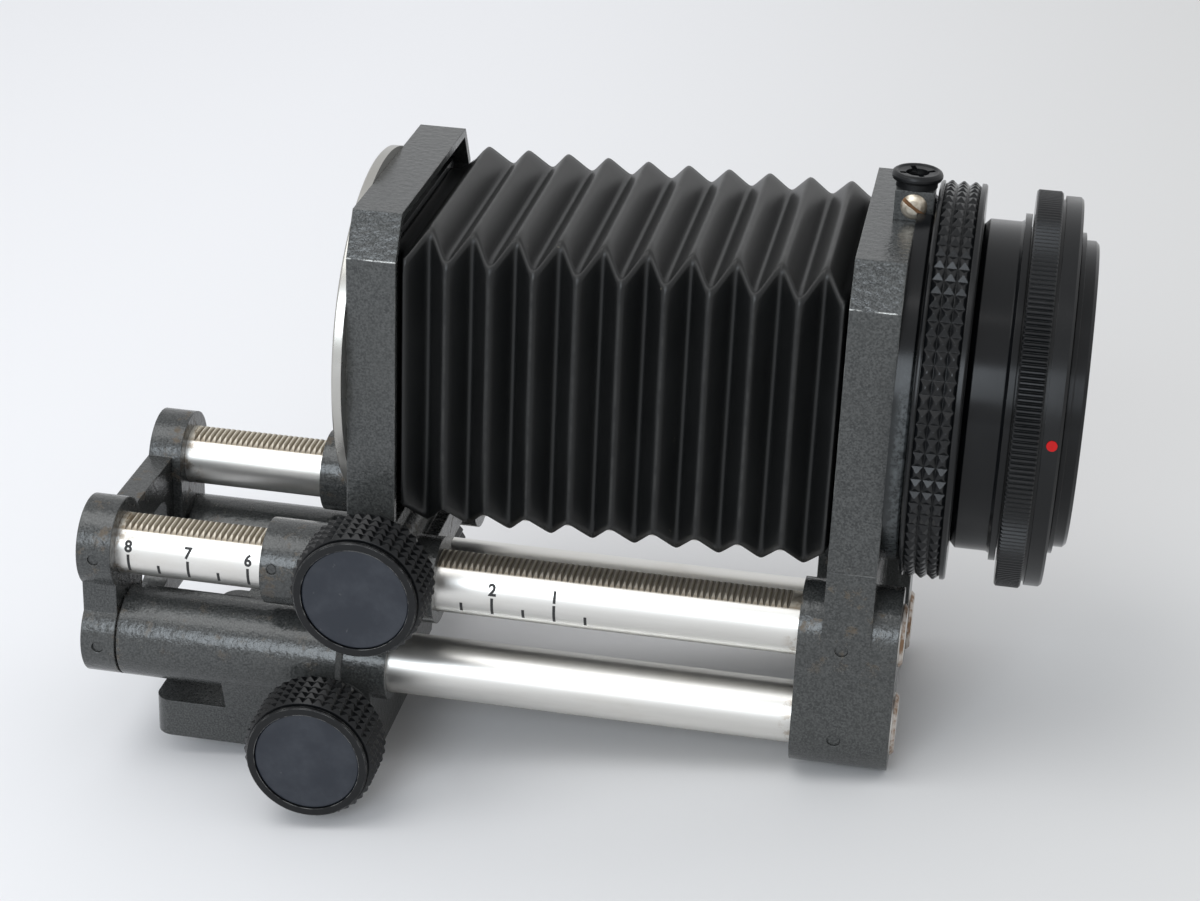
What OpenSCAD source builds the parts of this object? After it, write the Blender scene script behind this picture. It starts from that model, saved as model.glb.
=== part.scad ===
// Macro bellows unit: a tripod block and a lens standard that ride on four round
// rods, each moved by a pinion on a rack cut in the rods, with a pleated bellows
// between the lens standard and the fixed camera frame.
// X runs along the rods to the camera end, Z is up, and the origin is the mouth
// of the tripod thread, on the underside of the foot plate.

/* [Rods] */
// Diameter of the four rods
rod_d = 10; // [9.5:0.1:10.4]
// Distance between the near and far rods
rod_span = 35; // [34:0.5:37]
// Height of the upper rods
upper_z = 34; // [33.5:0.25:35]
// Height of the lower rods
lower_z = 18; // [17.5:0.25:18.5]
// Free length of the rods between the end bracket and the camera foot
rod_free = 110.85; // [108:0.25:116]
// Length by which the rods stand proud of the camera foot
rod_proud = 0.75; // [0.4:0.05:1.2]
// Chamfer at the rod ends
rod_chamfer = 0.5; // [0.2:0.05:0.8]

/* [Rack and pinion] */
// Tooth module of the racks and pinions
gear_module = 0.3; // [0.28:0.01:0.32]
// Teeth on each pinion
pinion_teeth = 12; // [12:1:13]
// Depth of the rack's crest flat below the rod surface
crest_flat = 0.35; // [0.25:0.05:0.45]
// Length of toothed shaft at each rod
pinion_face = 7; // [6:0.5:7.5]
// Play on each flank of a rack tooth
flank_play = 0.03; // [0.03:0.01:0.06]
// Diameter of the pinion shafts
shaft_d = 4.4; // [4.3:0.05:4.5]
// Outer diameter of the shaft bushes
bush_d = 6.6; // [6.2:0.1:6.8]
// Diameter of the cast boss round each bush
boss_d = 9.6; // [9.2:0.1:9.8]

/* [Drive knobs] */
// Diameter of the drive knobs over the pyramids
knob_d = 21.2; // [20:0.2:22]
// Length of the drive knobs
knob_len = 10.3; // [10:0.1:10.6]
// Distance from the middle of the unit to the inner faces of the upper knobs
upper_knob_y = 28.4; // [28:0.1:29]
// Distance from the middle of the unit to the inner faces of the lower knobs
lower_knob_y = 31; // [29:0.1:31.4]
// Rows of pyramids along a drive knob
knob_rows = 5; // [4:1:5]
// Pyramids round a drive knob
knob_points = 40; // [36:1:44]
// Depth of the pyramids
knurl_depth = 0.55; // [0.4:0.05:0.65]
// Diameter of the disc in the face of a drive knob
cap_d = 16.9; // [16.4:0.1:17.6]
// Diameter of the lock knobs
lock_d = 15; // [14:0.2:17]
// Length of the lock knobs
lock_len = 8; // [7.6:0.1:9]
// Diameter of the disc in the face of a lock knob
lock_cap_d = 11; // [10:0.1:11.6]

/* [Tripod block] */
// Distance from the tripod thread to the end bracket at rest
bracket_reach = 24.7; // [24.4:0.1:25.5]
// Gap between the block and the end bracket at rest
stop_gap = 0.4; // [0.3:0.05:0.6]
// Outer diameter of the block's sleeves
block_sleeve_d = 15; // [14:0.2:15.4]
// Front end of the wide part of the sleeves
block_sleeve_end = 13.3; // [12.5:0.1:14]
// Diameter of the sleeves' narrow front collar
collar_d = 12.6; // [12:0.1:13.2]
// Front end of the narrow collar
collar_end = 20.4; // [19:0.1:20.6]
// Rear end of the solid body of the block
block_rear = -7.1; // [-8:0.1:-6.5]
// Front end of the solid body and of the foot plate
block_front = 17.8; // [17.4:0.1:18.4]
// Rear end of the foot plate
foot_rear = -20.1; // [-22:0.1:-18]
// Half width of the foot plate
foot_half = 20; // [19:0.5:21]
// Thickness of the foot plate
foot_t = 6.6; // [6:0.1:6.9]
// Corner radius of the foot plate
foot_r = 3; // [2:0.5:4]
// Height of the block's top between its sleeves
block_top = 22; // [21.5:0.25:24]
// Place of the lower drive along the rods
lower_drive_x = 12.4; // [12:0.1:12.6]
// Outer diameter of the tripod bush
tripod_bush_d = 10; // [9:0.5:11]
// Bore of the tripod bush, for a quarter inch thread
tripod_bore_d = 5.2; // [5:0.1:6.4]
// Length of the tripod bush
tripod_bush_len = 7.5; // [6.8:0.1:8.5]

/* [Brackets and frames] */
// Thickness of the end bracket
bracket_t = 5.7; // [5:0.1:7]
// Outer diameter of the bosses round the rods
boss_rod_d = 15; // [14:0.2:15.4]
// Depth of the waist in the bracket's sides
waist = 2.3; // [1:0.1:2.6]
// Height of the bracket's cross web
web_z = 36.3; // [35.5:0.1:38]
// Thickness of the bracket's cross web
web_t = 4.2; // [3.5:0.1:4.8]
// Half width of the window in the bracket's web
window_half = 7; // [5:0.5:7.5]
// Bottom of the window in the bracket's web
window_z0 = 14.5; // [14:0.25:17]
// Top of the window in the bracket's web
window_z1 = 30.5; // [28:0.25:31]
// Thickness of the camera foot along the rods
cam_foot_t = 15.5; // [15:0.1:17]
// Length of camera foot behind the frame
cam_foot_back = 3.72; // [3:0.1:4.5]
// Height of the seam between the camera foot and its frame
seam_z = 47.4; // [46.6:0.1:48]
// Thickness of both upright frames
frame_t = 7.6; // [7.4:0.1:8.2]
// Half width of the frames
frame_half = 25; // [25:0.1:26]
// Height of the frames' top
frame_top = 96.8; // [96:0.2:98]
// Height where the frames' corner bevel begins
bevel_z = 90.3; // [89:0.1:92]
// Half width of the frames' flat top
top_half = 21.1; // [20:0.1:22.5]
// Height of the optical axis
axis_z = 70.25; // [70:0.25:71]
// Radius of the light path through the frames
light_r = 19; // [17:0.25:19.5]
// Diameter of the set pins in the end bracket
bracket_pin_d = 1.9; // [1.6:0.1:2.2]
// Diameter of the set pins in the camera foot
foot_pin_d = 2.1; // [1.8:0.1:2.4]
// Depth of the set pins below the sides
pin_sink = 0.35; // [0.1:0.05:0.6]
// Underside of the camera foot's web between its legs
leg_gap_z = 22; // [20:0.5:26]

/* [Lens standard] */
// Distance from the tripod thread to the lens standard's outer face at rest
standard_x = 14.65; // [14.2:0.05:15.2]
// Outer diameter of the lens standard's sleeves
sleeve_d = 14; // [13.4:0.1:14.4]
// Length of the near sleeve
near_sleeve_len = 28.2; // [26:0.1:29]
// Length of the far sleeve
far_sleeve_len = 27.2; // [25:0.1:29]
// Reach of the sleeves ahead of the standard's outer face
sleeve_lead = 14.65; // [13:0.05:16]
// Place of the upper drive behind the standard's outer face
upper_drive_in = 4.85; // [4.6:0.05:5.2]
// Diameter of the plug in the near sleeve
plug_d = 1.6; // [1.2:0.1:1.8]

/* [Lens mount] */
// Diameter of the chrome mount ring
mount_ring_d = 56.5; // [55.5:0.25:58]
// Thickness of the chrome mount ring
mount_ring_t = 1.55; // [1.2:0.05:2.5]
// Bore of the chrome mount ring
throat_d = 44; // [43:0.25:45]
// Outer diameter of the ring's spigot in the frame
spigot_d = 46; // [45.6:0.1:46.6]
// Depth of the ring's spigot in the frame
spigot_len = 2.6; // [2:0.1:3]

/* [Bellows] */
// Half width of the bellows over its ridges
bellows_half = 24.85; // [24:0.05:24.9]
// Depth of the folds
fold_depth = 4.5; // [3.5:0.1:4.6]
// Ridges along the top
folds = 10; // [8:1:10]
// First top ridge, from the lens standard
fold_lead = 4.15; // [3.6:0.05:4.6]
// Last top ridge, from the camera frame
fold_tail = 4.05; // [3.8:0.05:4.6]
// Thickness of the pleated cloth
cloth_t = 0.7; // [0.5:0.05:0.9]
// Half width of the cloth's ends
bellows_end = 20.3; // [19.6:0.1:20.5]
// Half width of the plates that hold the cloth's ends
plate_half = 21.5; // [21:0.1:21.7]
// Thickness of those plates
plate_t = 1; // [0.8:0.1:1.2]
// Depth of the seat for the plate in the camera frame
seat_depth = 2; // [1.6:0.1:2.4]
// Depth of the tray in the lens standard that takes the first fold
tray_depth = 2.8; // [2.2:0.1:3]
// Wall of the lens standard round that tray
tray_rim = 1.25; // [1:0.05:1.6]

/* [Camera adapter] */
// Diameter of the fixed mount flange
flange_d = 57.2; // [56.6:0.2:59]
// Thickness of the fixed mount flange
flange_t = 2.55; // [2.4:0.05:2.8]
// Diameter of the flange's spigot
hub_d = 53; // [52.6:0.2:53.4]
// Length of the flange's spigot
hub_len = 5.58; // [5.4:0.02:5.8]
// Bore through the flange
flange_bore_d = 43; // [41:0.5:43.4]
// Diameter of the knurled locking ring
lock_ring_d = 62; // [61.4:0.2:63]
// Length of the knurled locking ring
lock_ring_len = 7.15; // [7:0.05:7.3]
// Pyramids round the locking ring
lock_ring_points = 88; // [80:1:92]
// Spacing of the pyramid rows on the locking ring
lock_ring_row = 1.82; // [1.7:0.02:1.84]
// Width of the plain lip before the locking ring's pyramids
lock_ring_lip = 0.72; // [0.5:0.02:0.8]
// Rows of pyramids on the locking ring
lock_ring_rows = 3; // [2:1:3]
// Diameter of the adapter's barrel
barrel_d = 51.4; // [51:0.1:51.7]
// Length of the adapter's barrel from the hub
barrel_len = 8.1; // [7.8:0.1:9]
// Depth of the neck in the barrel behind the locking ring
barrel_neck = 0.9; // [0.5:0.1:1.2]
// Diameter of the step on the adapter's barrel
step_d = 54; // [53:0.2:56]
// Length of that step
step_len = 1; // [0.8:0.1:1.4]
// Bore through the adapter
adapter_bore_d = 41; // [39:0.5:42]
// Diameter of the adapter's inner spigot
core_d = 50; // [49.6:0.1:50.4]
// Length of the adapter's inner spigot
core_len = 5.9; // [5.7:0.1:6.4]
// Diameter of the ribbed part of the breech ring
rib_ring_d = 61.7; // [61:0.1:63]
// Length of the ribbed part of the breech ring
rib_ring_len = 4; // [3.6:0.1:4.4]
// Ribs round the breech ring
ribs = 236; // [180:1:240]
// Depth of the ribs
rib_depth = 0.35; // [0.2:0.05:0.4]
// Diameter of the breech ring's smooth band
band_d = 60.5; // [60:0.1:61.5]
// Length of the breech ring's smooth band
band_len = 2.65; // [2.5:0.05:3]
// Diameter of the bayonet nose
nose_d = 47.6; // [47:0.1:48]
// Length of the bayonet nose
nose_len = 4.6; // [4.4:0.1:5.2]
// Diameter over the bayonet lugs
lug_d = 49.8; // [49:0.1:50]
// Angle of the index dot round the breech ring, up from the near side
dot_angle = 8; // [-60:1:60]
// Diameter of the index dot
dot_d = 1.6; // [1.2:0.1:1.9]

/* [Release socket] */
// Width of the release block
rel_w = 6; // [5.8:0.2:7]
// Length of the release block along the rods
rel_len = 5.95; // [5.8:0.05:6.4]
// Height of the release block over the frame's top
rel_h = 4.8; // [4.6:0.1:5.4]
// Length by which the release block overhangs the frame
rel_over = 2.38; // [2:0.02:2.6]
// Diameter of the socket's flange
rel_flange_d = 7.8; // [7:0.1:8.4]
// Thickness of the socket's flange
rel_flange_t = 1.4; // [1.2:0.1:1.8]
// Diameter of the socket's neck
rel_neck_d = 6.4; // [5.8:0.1:6.6]
// Height of the socket's neck
rel_neck_h = 1; // [0.6:0.1:1.6]
// Diameter of the plunger's stem
stem_d = 2.3; // [2:0.1:2.4]

/* [Hidden] */
$fn = 64;
eps = 0.01;
// Clearance of a pressed or glued fit, on the radius
press = 0.02;
// Clearance of a running fit, on the radius
run = 0.05;
// Gap between turned faces that move past each other
face_gap = 0.3;
// Height of the knurl's cutting points over its crest
knurl_over = 0.12;
// Depth of the turned grooves below the knurl's flutes
knurl_under = 0.08;
rod_r = rod_d / 2;
rod_y = rod_span / 2;
pitch_r = gear_module * pinion_teeth / 2;
tooth_pitch = PI * gear_module;
addendum = gear_module;
dedendum = 1.26 * gear_module;
pitch_h = rod_r - crest_flat - addendum;
mesh_h = pitch_h + pitch_r;
upper_drive_x = standard_x + upper_drive_in;
// Each drive: place along X, height, and distance out to its knobs
upper_drive = [upper_drive_x, upper_z + mesh_h, upper_knob_y];
lower_drive = [lower_drive_x, lower_z - mesh_h, lower_knob_y];
bracket_x1 = -bracket_reach;
bracket_x0 = bracket_x1 - bracket_t;
cam_x0 = bracket_x1 + rod_free;
cam_x1 = cam_x0 + cam_foot_t;
rod_x0 = bracket_x0 + 0.4;
rod_x1 = cam_x1 + rod_proud;
cf_x0 = cam_x0 + cam_foot_back;
cf_x1 = cf_x0 + frame_t;
ls_x1 = standard_x + frame_t;
sleeve_x0 = standard_x - sleeve_lead;
block_x0 = bracket_x1 + stop_gap;
side_y = rod_y + boss_rod_d / 2;
fl_x1 = cf_x1 + flange_t;
hub_x1 = fl_x1 + hub_len;
lr_x0 = fl_x1 + face_gap;
lr_x1 = lr_x0 + lock_ring_len;
bar_x1 = hub_x1 + barrel_len;
step_x1 = bar_x1 + step_len;
core_x1 = step_x1 + core_len;
br_x0 = step_x1 + face_gap;
rib_x1 = br_x0 + rib_ring_len;
band_x0 = rib_x1 + 0.5;
band_x1 = band_x0 + band_len;
nose_x1 = core_x1 + nose_len;
rel_x1 = cf_x1 + rel_over;
rel_x0 = rel_x1 - rel_len;
rel_x = (rel_x0 + rel_x1) / 2;
rel_z1 = frame_top + rel_h;
rel_top = rel_z1 + rel_neck_h + rel_flange_t;
rel_bore_r = rel_neck_d / 2 - 0.9;
rel_in_r = rel_bore_r - 0.55;
rel_depth = rel_h - 0.8;
bush_y0 = rod_y + pinion_face / 2 + 0.6;
// Distances between a knob and the ends of its bush and boss
bush_back = 0.5;
boss_back = 1;

// ---- helpers ----

// Cylinder along X
module along_x(x0, x1, y, z, r) {
    translate([x0, y, z])
        rotate([0, 90, 0])
            cylinder(r = r, h = x1 - x0);
}

// Cylinder along Y
module along_y(y0, y1, x, z, r) {
    translate([x, y1, z])
        rotate([90, 0, 0])
            cylinder(r = r, h = y1 - y0);
}

// Box from corner to corner
module block(x0, x1, y0, y1, z0, z1) {
    translate([x0, y0, z0])
        cube([x1 - x0, y1 - y0, z1 - z0]);
}

// Outline in Y and Z, run along X
module slab(x0, x1) {
    translate([x0, 0, 0])
        rotate([90, 0, 90])
            linear_extrude(x1 - x0)
                children();
}

// Profile of radius and X, turned round the optical axis
module turned() {
    translate([0, 0, axis_z])
        rotate([0, 90, 0])
            rotate_extrude($fn = 128)
                children();
}

// Puts a shape drawn along Z at a drive's knob, its Z pointing away from the unit
module at_drive(d, side) {
    translate([d[0], side * d[2], d[1]])
        rotate([side < 0 ? 90 : -90, 0, 0])
            children();
}

// Rounded rectangle
module round_rect(x0, x1, y0, y1, r) {
    translate([x0 + r, y0])
        square([x1 - x0 - 2 * r, y1 - y0]);
    translate([x0, y0 + r])
        square([x1 - x0, y1 - y0 - 2 * r]);
    for (x = [x0 + r, x1 - r], y = [y0 + r, y1 - r])
        translate([x, y])
            circle(r);
}

// Star outline whose flanks cut the knurl; its points stand over the crest
module star(r, depth, n) {
    polygon([for (i = [0 : 2 * n - 1])
        let (q = i % 2 == 0 ? r + knurl_over : r - depth)
        [q * cos(i * 180 / n), q * sin(i * 180 / n)]]);
}

// ---- racks and pinions ----

// Comb above a rod that leaves its rack teeth: X along the rod, Y up from its axis
module rack_comb(x_mesh) {
    t20 = tan(20);
    crest = pitch_h + addendum;
    root = pitch_h - dedendum;
    at_crest = tooth_pitch / 4 - flank_play - addendum * t20;
    at_root = tooth_pitch / 4 - flank_play + dedendum * t20;
    first = ceil((bracket_x1 + 0.8 - x_mesh) / tooth_pitch);
    last = floor((cam_x0 - 0.8 - x_mesh) / tooth_pitch);
    xa = x_mesh + first * tooth_pitch - at_crest;
    xb = x_mesh + last * tooth_pitch + at_crest;
    teeth = [for (k = [first : last])
        let (x = x_mesh + k * tooth_pitch)
        each concat(
            k == first ? [] : [[x - at_root, root]],
            [[x - at_crest, crest], [x + at_crest, crest]],
            k == last ? [] : [[x + at_root, root]])];
    polygon(concat([[xa, rod_r + 1]], teeth, [[xb, rod_r + 1]]));
}

// Rod with a rack along its free length, facing up or down
module rack_rod(side, z, up, x_mesh) {
    color("silver")
        difference() {
            union() {
                along_x(rod_x0, rod_x1 - rod_chamfer, side * rod_y, z, rod_r);
                translate([rod_x1 - rod_chamfer, side * rod_y, z])
                    rotate([0, 90, 0])
                        cylinder(r1 = rod_r, r2 = rod_r - rod_chamfer, h = rod_chamfer);
            }
            translate([0, side * rod_y, z])
                rotate([90, 0, 0])
                    linear_extrude(rod_d + 2, center = true)
                        mirror([0, up > 0 ? 0 : 1])
                            rack_comb(x_mesh);
        }
}

module near_upper_rail() { rack_rod(-1, upper_z, 1, upper_drive_x); }
module far_upper_rail() { rack_rod(1, upper_z, 1, upper_drive_x); }
module near_lower_rail() { rack_rod(-1, lower_z, -1, lower_drive_x); }
module far_lower_rail() { rack_rod(1, lower_z, -1, lower_drive_x); }

// Outline of a pinion with a tooth gap straight up and down
module pinion_outline() {
    gap = 360 / pinion_teeth;
    r0 = pitch_r - dedendum;
    r2 = pitch_r + addendum;
    w0 = 0.7 * gear_module;
    w1 = 0.63 * gear_module;
    w2 = 0.27 * gear_module;
    polygon([for (k = [0 : pinion_teeth - 1])
        let (a = (k + 0.5) * gap - 90)
        for (q = [[r0, -w0], [pitch_r, -w1], [r2, -w2], [r2, w2], [pitch_r, w1], [r0, w0]])
            let (b = a + q[1] / q[0] * 180 / PI)
            [q[0] * cos(b), q[0] * sin(b)]]);
}

// Shaft with a pinion at each rod, a tapped near end and a threaded far end
module pinion_shaft(d) {
    x = d[0];
    z = d[1];
    y_near = -(d[2] + knob_len - 4.4);
    y_far = d[2] + lock_len - 1.6;
    tooth0 = rod_y - pinion_face / 2;
    tooth1 = rod_y + pinion_face / 2;
    color("gainsboro")
        difference() {
            union() {
                along_y(y_near, -tooth1, x, z, shaft_d / 2);
                along_y(-tooth0, tooth0, x, z, shaft_d / 2);
                along_y(tooth1, y_far, x, z, shaft_d / 2);
                for (s = [-1, 1])
                    translate([x, s * rod_y, z])
                        rotate([90, 0, 0])
                            linear_extrude(pinion_face, center = true)
                                pinion_outline();
            }
            along_y(y_near - 1, y_near + 5, x, z, 1 + press);
        }
}

module upper_pinion_shaft() { pinion_shaft(upper_drive); }
module lower_pinion_shaft() { pinion_shaft(lower_drive); }

// Flanged bushes that carry a pinion shaft, one at each side
module shaft_bushes(d) {
    bush_y1 = d[2] - bush_back;
    boss_y = d[2] - boss_back;
    color("darkgoldenrod")
        for (s = [-1, 1])
            difference() {
                union() {
                    along_y(s > 0 ? bush_y0 : -bush_y1, s > 0 ? bush_y1 : -bush_y0,
                        d[0], d[1], bush_d / 2);
                    along_y(s > 0 ? boss_y : -bush_y1, s > 0 ? bush_y1 : -boss_y,
                        d[0], d[1], boss_d / 2 - 0.6);
                }
                along_y(-d[2], d[2], d[0], d[1], shaft_d / 2 + run);
            }
}

module upper_shaft_bushes() { shaft_bushes(upper_drive); }
module lower_shaft_bushes() { shaft_bushes(lower_drive); }

// Hole for a pinion shaft and its two bushes, cut in a casting
module drive_bore(d) {
    along_y(-bush_y0 - eps, bush_y0 + eps, d[0], d[1], shaft_d / 2 + 0.35);
    along_y(-d[2], -bush_y0, d[0], d[1], bush_d / 2 + press);
    along_y(bush_y0, d[2], d[0], d[1], bush_d / 2 + press);
}

// Cast boss for a drive, through the whole casting
module drive_boss(d) {
    along_y(boss_back - d[2], d[2] - boss_back, d[0], d[1], boss_d / 2);
}

// ---- knobs ----

// Knob drawn along Z from its inner face: a plain lip, rows of pyramids, a groove,
// and a plain rim round the recess for the disc
module drive_knob(d) {
    r = knob_d / 2;
    rim_r = r - 0.85;
    groove_r = r - 1.15;
    rim = 1.1;
    base = 0.8;
    len = knob_len;
    row = (len - rim - base) / knob_rows;
    flat = 0.12;
    low = r - knurl_depth - knurl_under;
    hub_r = shaft_d / 2 + press;
    disc_r = cap_d / 2 + press;
    crown = [for (i = [0 : knob_rows - 1])
        let (z = base + i * row)
        each [[low, z], [r, z + row / 2 - flat], [r, z + row / 2 + flat]]];
    color("dimgray")
        at_drive(d, -1)
            intersection() {
                rotate_extrude($fn = 128)
                    polygon(concat([[hub_r, 0], [rim_r - 0.2, 0], [rim_r, 0.2],
                        [rim_r, base]], crown,
                        [[low, len - rim], [groove_r, len - rim], [groove_r, len - rim + 0.3],
                         [rim_r, len - rim + 0.45], [rim_r, len - 0.15],
                         [rim_r - 0.15, len], [disc_r, len], [disc_r, len - 1.3],
                         [3.1, len - 1.3], [3.1, len - 4.4], [hub_r, len - 4.4]]));
                translate([0, 0, -1])
                    linear_extrude(len + 2)
                        star(r, knurl_depth, knob_points);
            }
}

// Disc that closes a knob's face
module knob_cap(d, len) {
    color("midnightblue")
        translate([0, 0, len - 1.3])
            rotate_extrude($fn = 96)
                polygon([[0, 0], [d / 2, 0], [d / 2, 0.85], [d / 2 - 0.2, 1], [0, 1]]);
}

// Cheese head screw in the end of a pinion shaft
module knob_screw() {
    color("silver")
        difference() {
            union() {
                translate([0, 0, knob_len - 4.4 - 4.5])
                    cylinder(r = 1, h = 4.5 + eps);
                translate([0, 0, knob_len - 4.4])
                    cylinder(r = 2.6, h = 2);
            }
            translate([-3, -0.35, knob_len - 4.4 + 1.2])
                cube([6, 0.7, 1]);
        }
}

module upper_drive_knob() { drive_knob(upper_drive); }
module lower_drive_knob() { drive_knob(lower_drive); }
module upper_knob_cap() { at_drive(upper_drive, -1) knob_cap(cap_d, knob_len); }
module lower_knob_cap() { at_drive(lower_drive, -1) knob_cap(cap_d, knob_len); }
module upper_knob_screw() { at_drive(upper_drive, -1) knob_screw(); }
module lower_knob_screw() { at_drive(lower_drive, -1) knob_screw(); }

// Lock knob that runs on the far end of a pinion shaft
module lock_knob(d) {
    r = lock_d / 2;
    low = r - knurl_depth - knurl_under;
    color("dimgray")
        at_drive(d, 1)
            intersection() {
                rotate_extrude($fn = 96)
                    polygon([[shaft_d / 2 + 2 * run, 0], [low - 0.4, 0], [low, 0.6],
                        [r, 1.4], [r, lock_len - 1.4], [low, lock_len - 0.6],
                        [low - 0.3, lock_len], [lock_cap_d / 2 + press, lock_len],
                        [lock_cap_d / 2 + press, lock_len - 1.3],
                        [shaft_d / 2 + 2 * run, lock_len - 1.3]]);
                translate([0, 0, -1])
                    linear_extrude(lock_len + 2)
                        star(r, knurl_depth, 30);
            }
}

module upper_lock_knob() { lock_knob(upper_drive); }
module lower_lock_knob() { lock_knob(lower_drive); }
module upper_lock_cap() { at_drive(upper_drive, 1) knob_cap(lock_cap_d, lock_len); }
module lower_lock_cap() { at_drive(lower_drive, 1) knob_cap(lock_cap_d, lock_len); }

// ---- tripod block ----

module tripod_block() {
    r = block_sleeve_d / 2;
    edge = 0.8;
    color("dimgray")
        difference() {
            union() {
                for (s = [-1, 1]) {
                    along_x(block_x0, block_sleeve_end - edge, s * rod_y, lower_z, r);
                    translate([block_sleeve_end - edge, s * rod_y, lower_z])
                        rotate([0, 90, 0])
                            cylinder(r1 = r, r2 = r - edge, h = edge);
                    along_x(block_rear, collar_end, s * rod_y, lower_z, collar_d / 2);
                }
                slab(block_rear, block_sleeve_end - edge)
                    polygon([[-rod_y - r, lower_z], [-foot_half, foot_t / 2],
                        [foot_half, foot_t / 2], [rod_y + r, lower_z],
                        [rod_y, block_top], [-rod_y, block_top]]);
                slab(block_sleeve_end - edge - eps, block_front)
                    polygon([[-rod_y - collar_d / 2, lower_z], [-foot_half, foot_t / 2],
                        [foot_half, foot_t / 2], [rod_y + collar_d / 2, lower_z],
                        [rod_y, block_top], [-rod_y, block_top]]);
                linear_extrude(foot_t)
                    round_rect(foot_rear, block_front, -foot_half, foot_half, foot_r);
                drive_boss(lower_drive);
            }
            for (s = [-1, 1])
                along_x(block_x0 - 1, collar_end + 1, s * rod_y, lower_z, rod_r + run);
            drive_bore(lower_drive);
            translate([0, 0, -1])
                cylinder(r = tripod_bush_d / 2 + press, h = tripod_bush_len + 1);
        }
}

module tripod_bush() {
    color("goldenrod")
        rotate_extrude()
            polygon([[tripod_bore_d / 2 + 0.5, 0], [tripod_bush_d / 2, 0],
                [tripod_bush_d / 2, tripod_bush_len], [tripod_bore_d / 2, tripod_bush_len],
                [tripod_bore_d / 2, 0.5]]);
}

// ---- end bracket and camera foot ----

module set_pins(x, d) {
    color("dimgray")
        for (s = [-1, 1], z = [upper_z, lower_z])
            along_y(s > 0 ? rod_y + rod_r + 0.05 : -side_y + pin_sink,
                s > 0 ? side_y - pin_sink : -rod_y - rod_r - 0.05, x, z, d / 2);
}

module end_bracket() {
    mid = (bracket_x0 + bracket_x1) / 2;
    color("dimgray")
        difference() {
            union() {
                for (s = [-1, 1]) {
                    for (z = [upper_z, lower_z])
                        along_x(bracket_x0, bracket_x1, s * rod_y, z, boss_rod_d / 2);
                    block(bracket_x0, bracket_x1,
                        s > 0 ? rod_y - 7 : -side_y + waist,
                        s > 0 ? side_y - waist : -rod_y + 7, lower_z, upper_z);
                }
                block(bracket_x0, bracket_x0 + web_t, -rod_y, rod_y,
                    lower_z - boss_rod_d / 2, web_z);
            }
            slab(bracket_x0 - 1, bracket_x1 + 1)
                round_rect(-window_half, window_half, window_z0, window_z1, 3);
            for (s = [-1, 1], z = [upper_z, lower_z])
                along_x(rod_x0 - press, bracket_x1 + 1, s * rod_y, z, rod_r + press);
            for (z = [upper_z, lower_z], s = [-1, 1])
                along_y(s > 0 ? rod_y : -side_y - 1, s > 0 ? side_y + 1 : -rod_y,
                    mid, z, bracket_pin_d / 2 + press);
        }
}

module end_bracket_pins() { set_pins((bracket_x0 + bracket_x1) / 2, bracket_pin_d); }

module camera_foot() {
    mid = (cam_x0 + cam_x1) / 2;
    color("dimgray")
        difference() {
            union() {
                for (s = [-1, 1]) {
                    for (z = [upper_z, lower_z])
                        along_x(cam_x0, cam_x1, s * rod_y, z, boss_rod_d / 2);
                    block(cam_x0, cam_x1, s > 0 ? rod_y - boss_rod_d / 2 : -side_y,
                        s > 0 ? side_y : -rod_y + boss_rod_d / 2, lower_z, upper_z);
                }
                block(cf_x0, cf_x1, -frame_half, frame_half, upper_z, seam_z);
                block(cf_x0, cf_x1, -rod_y, rod_y, leg_gap_z, seam_z);
            }
            for (s = [-1, 1], z = [upper_z, lower_z])
                along_x(cam_x0 - 1, cam_x1 + 1, s * rod_y, z, rod_r + press);
            for (z = [upper_z, lower_z], s = [-1, 1])
                along_y(s > 0 ? rod_y : -side_y - 1, s > 0 ? side_y + 1 : -rod_y,
                    mid - 0.8, z, foot_pin_d / 2 + press);
            for (s = [-1, 1])
                translate([(cf_x0 + cf_x1) / 2, s * 8, 0]) {
                    translate([0, 0, leg_gap_z - 1])
                        cylinder(r = 2.9, h = seam_z - 9.4 - leg_gap_z + 1);
                    translate([0, 0, leg_gap_z])
                        cylinder(r = 1.5 + press, h = seam_z - leg_gap_z + 1);
                }
        }
}

module camera_foot_pins() { set_pins((cam_x0 + cam_x1) / 2 - 0.8, foot_pin_d); }

// ---- upright frames ----

module frame_outline(z0) {
    polygon([[-frame_half, z0], [frame_half, z0], [frame_half, bevel_z],
        [top_half, frame_top], [-top_half, frame_top], [-frame_half, bevel_z]]);
}

// Tray in the lens standard, a wall's thickness inside its outline
module bellows_tray(x0, x1) {
    lean = atan2(frame_half - top_half, frame_top - bevel_z);
    h = frame_half - tray_rim;
    shoulder = bevel_z - tray_rim * tan(lean / 2);
    flat = top_half - tray_rim * tan(45 - lean / 2);
    slab(x0, x1)
        polygon([[-h, axis_z - h], [h, axis_z - h], [h, shoulder],
            [flat, frame_top - tray_rim], [-flat, frame_top - tray_rim], [-h, shoulder]]);
}

// Square seat for the plate that holds the bellows in the camera frame
module plate_seat(x0, x1) {
    h = plate_half + 0.3;
    block(x0, x1, -h, h, axis_z - h, axis_z + h);
}

module camera_frame() {
    color("dimgray")
        difference() {
            slab(cf_x0, cf_x1)
                frame_outline(seam_z);
            along_x(cf_x0 - 1, cf_x1 + 1, 0, axis_z, light_r);
            plate_seat(cf_x0 - 1, cf_x0 + seat_depth);
            for (s = [-1, 1])
                translate([(cf_x0 + cf_x1) / 2, s * 8, seam_z - 1])
                    cylinder(r = 1.5 + press, h = 3.2);
            flange_screw_places()
                along_x(cf_x0 + seat_depth + 1, cf_x1 + 1, 0, 0, 0.9 + press);
        }
}

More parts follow.
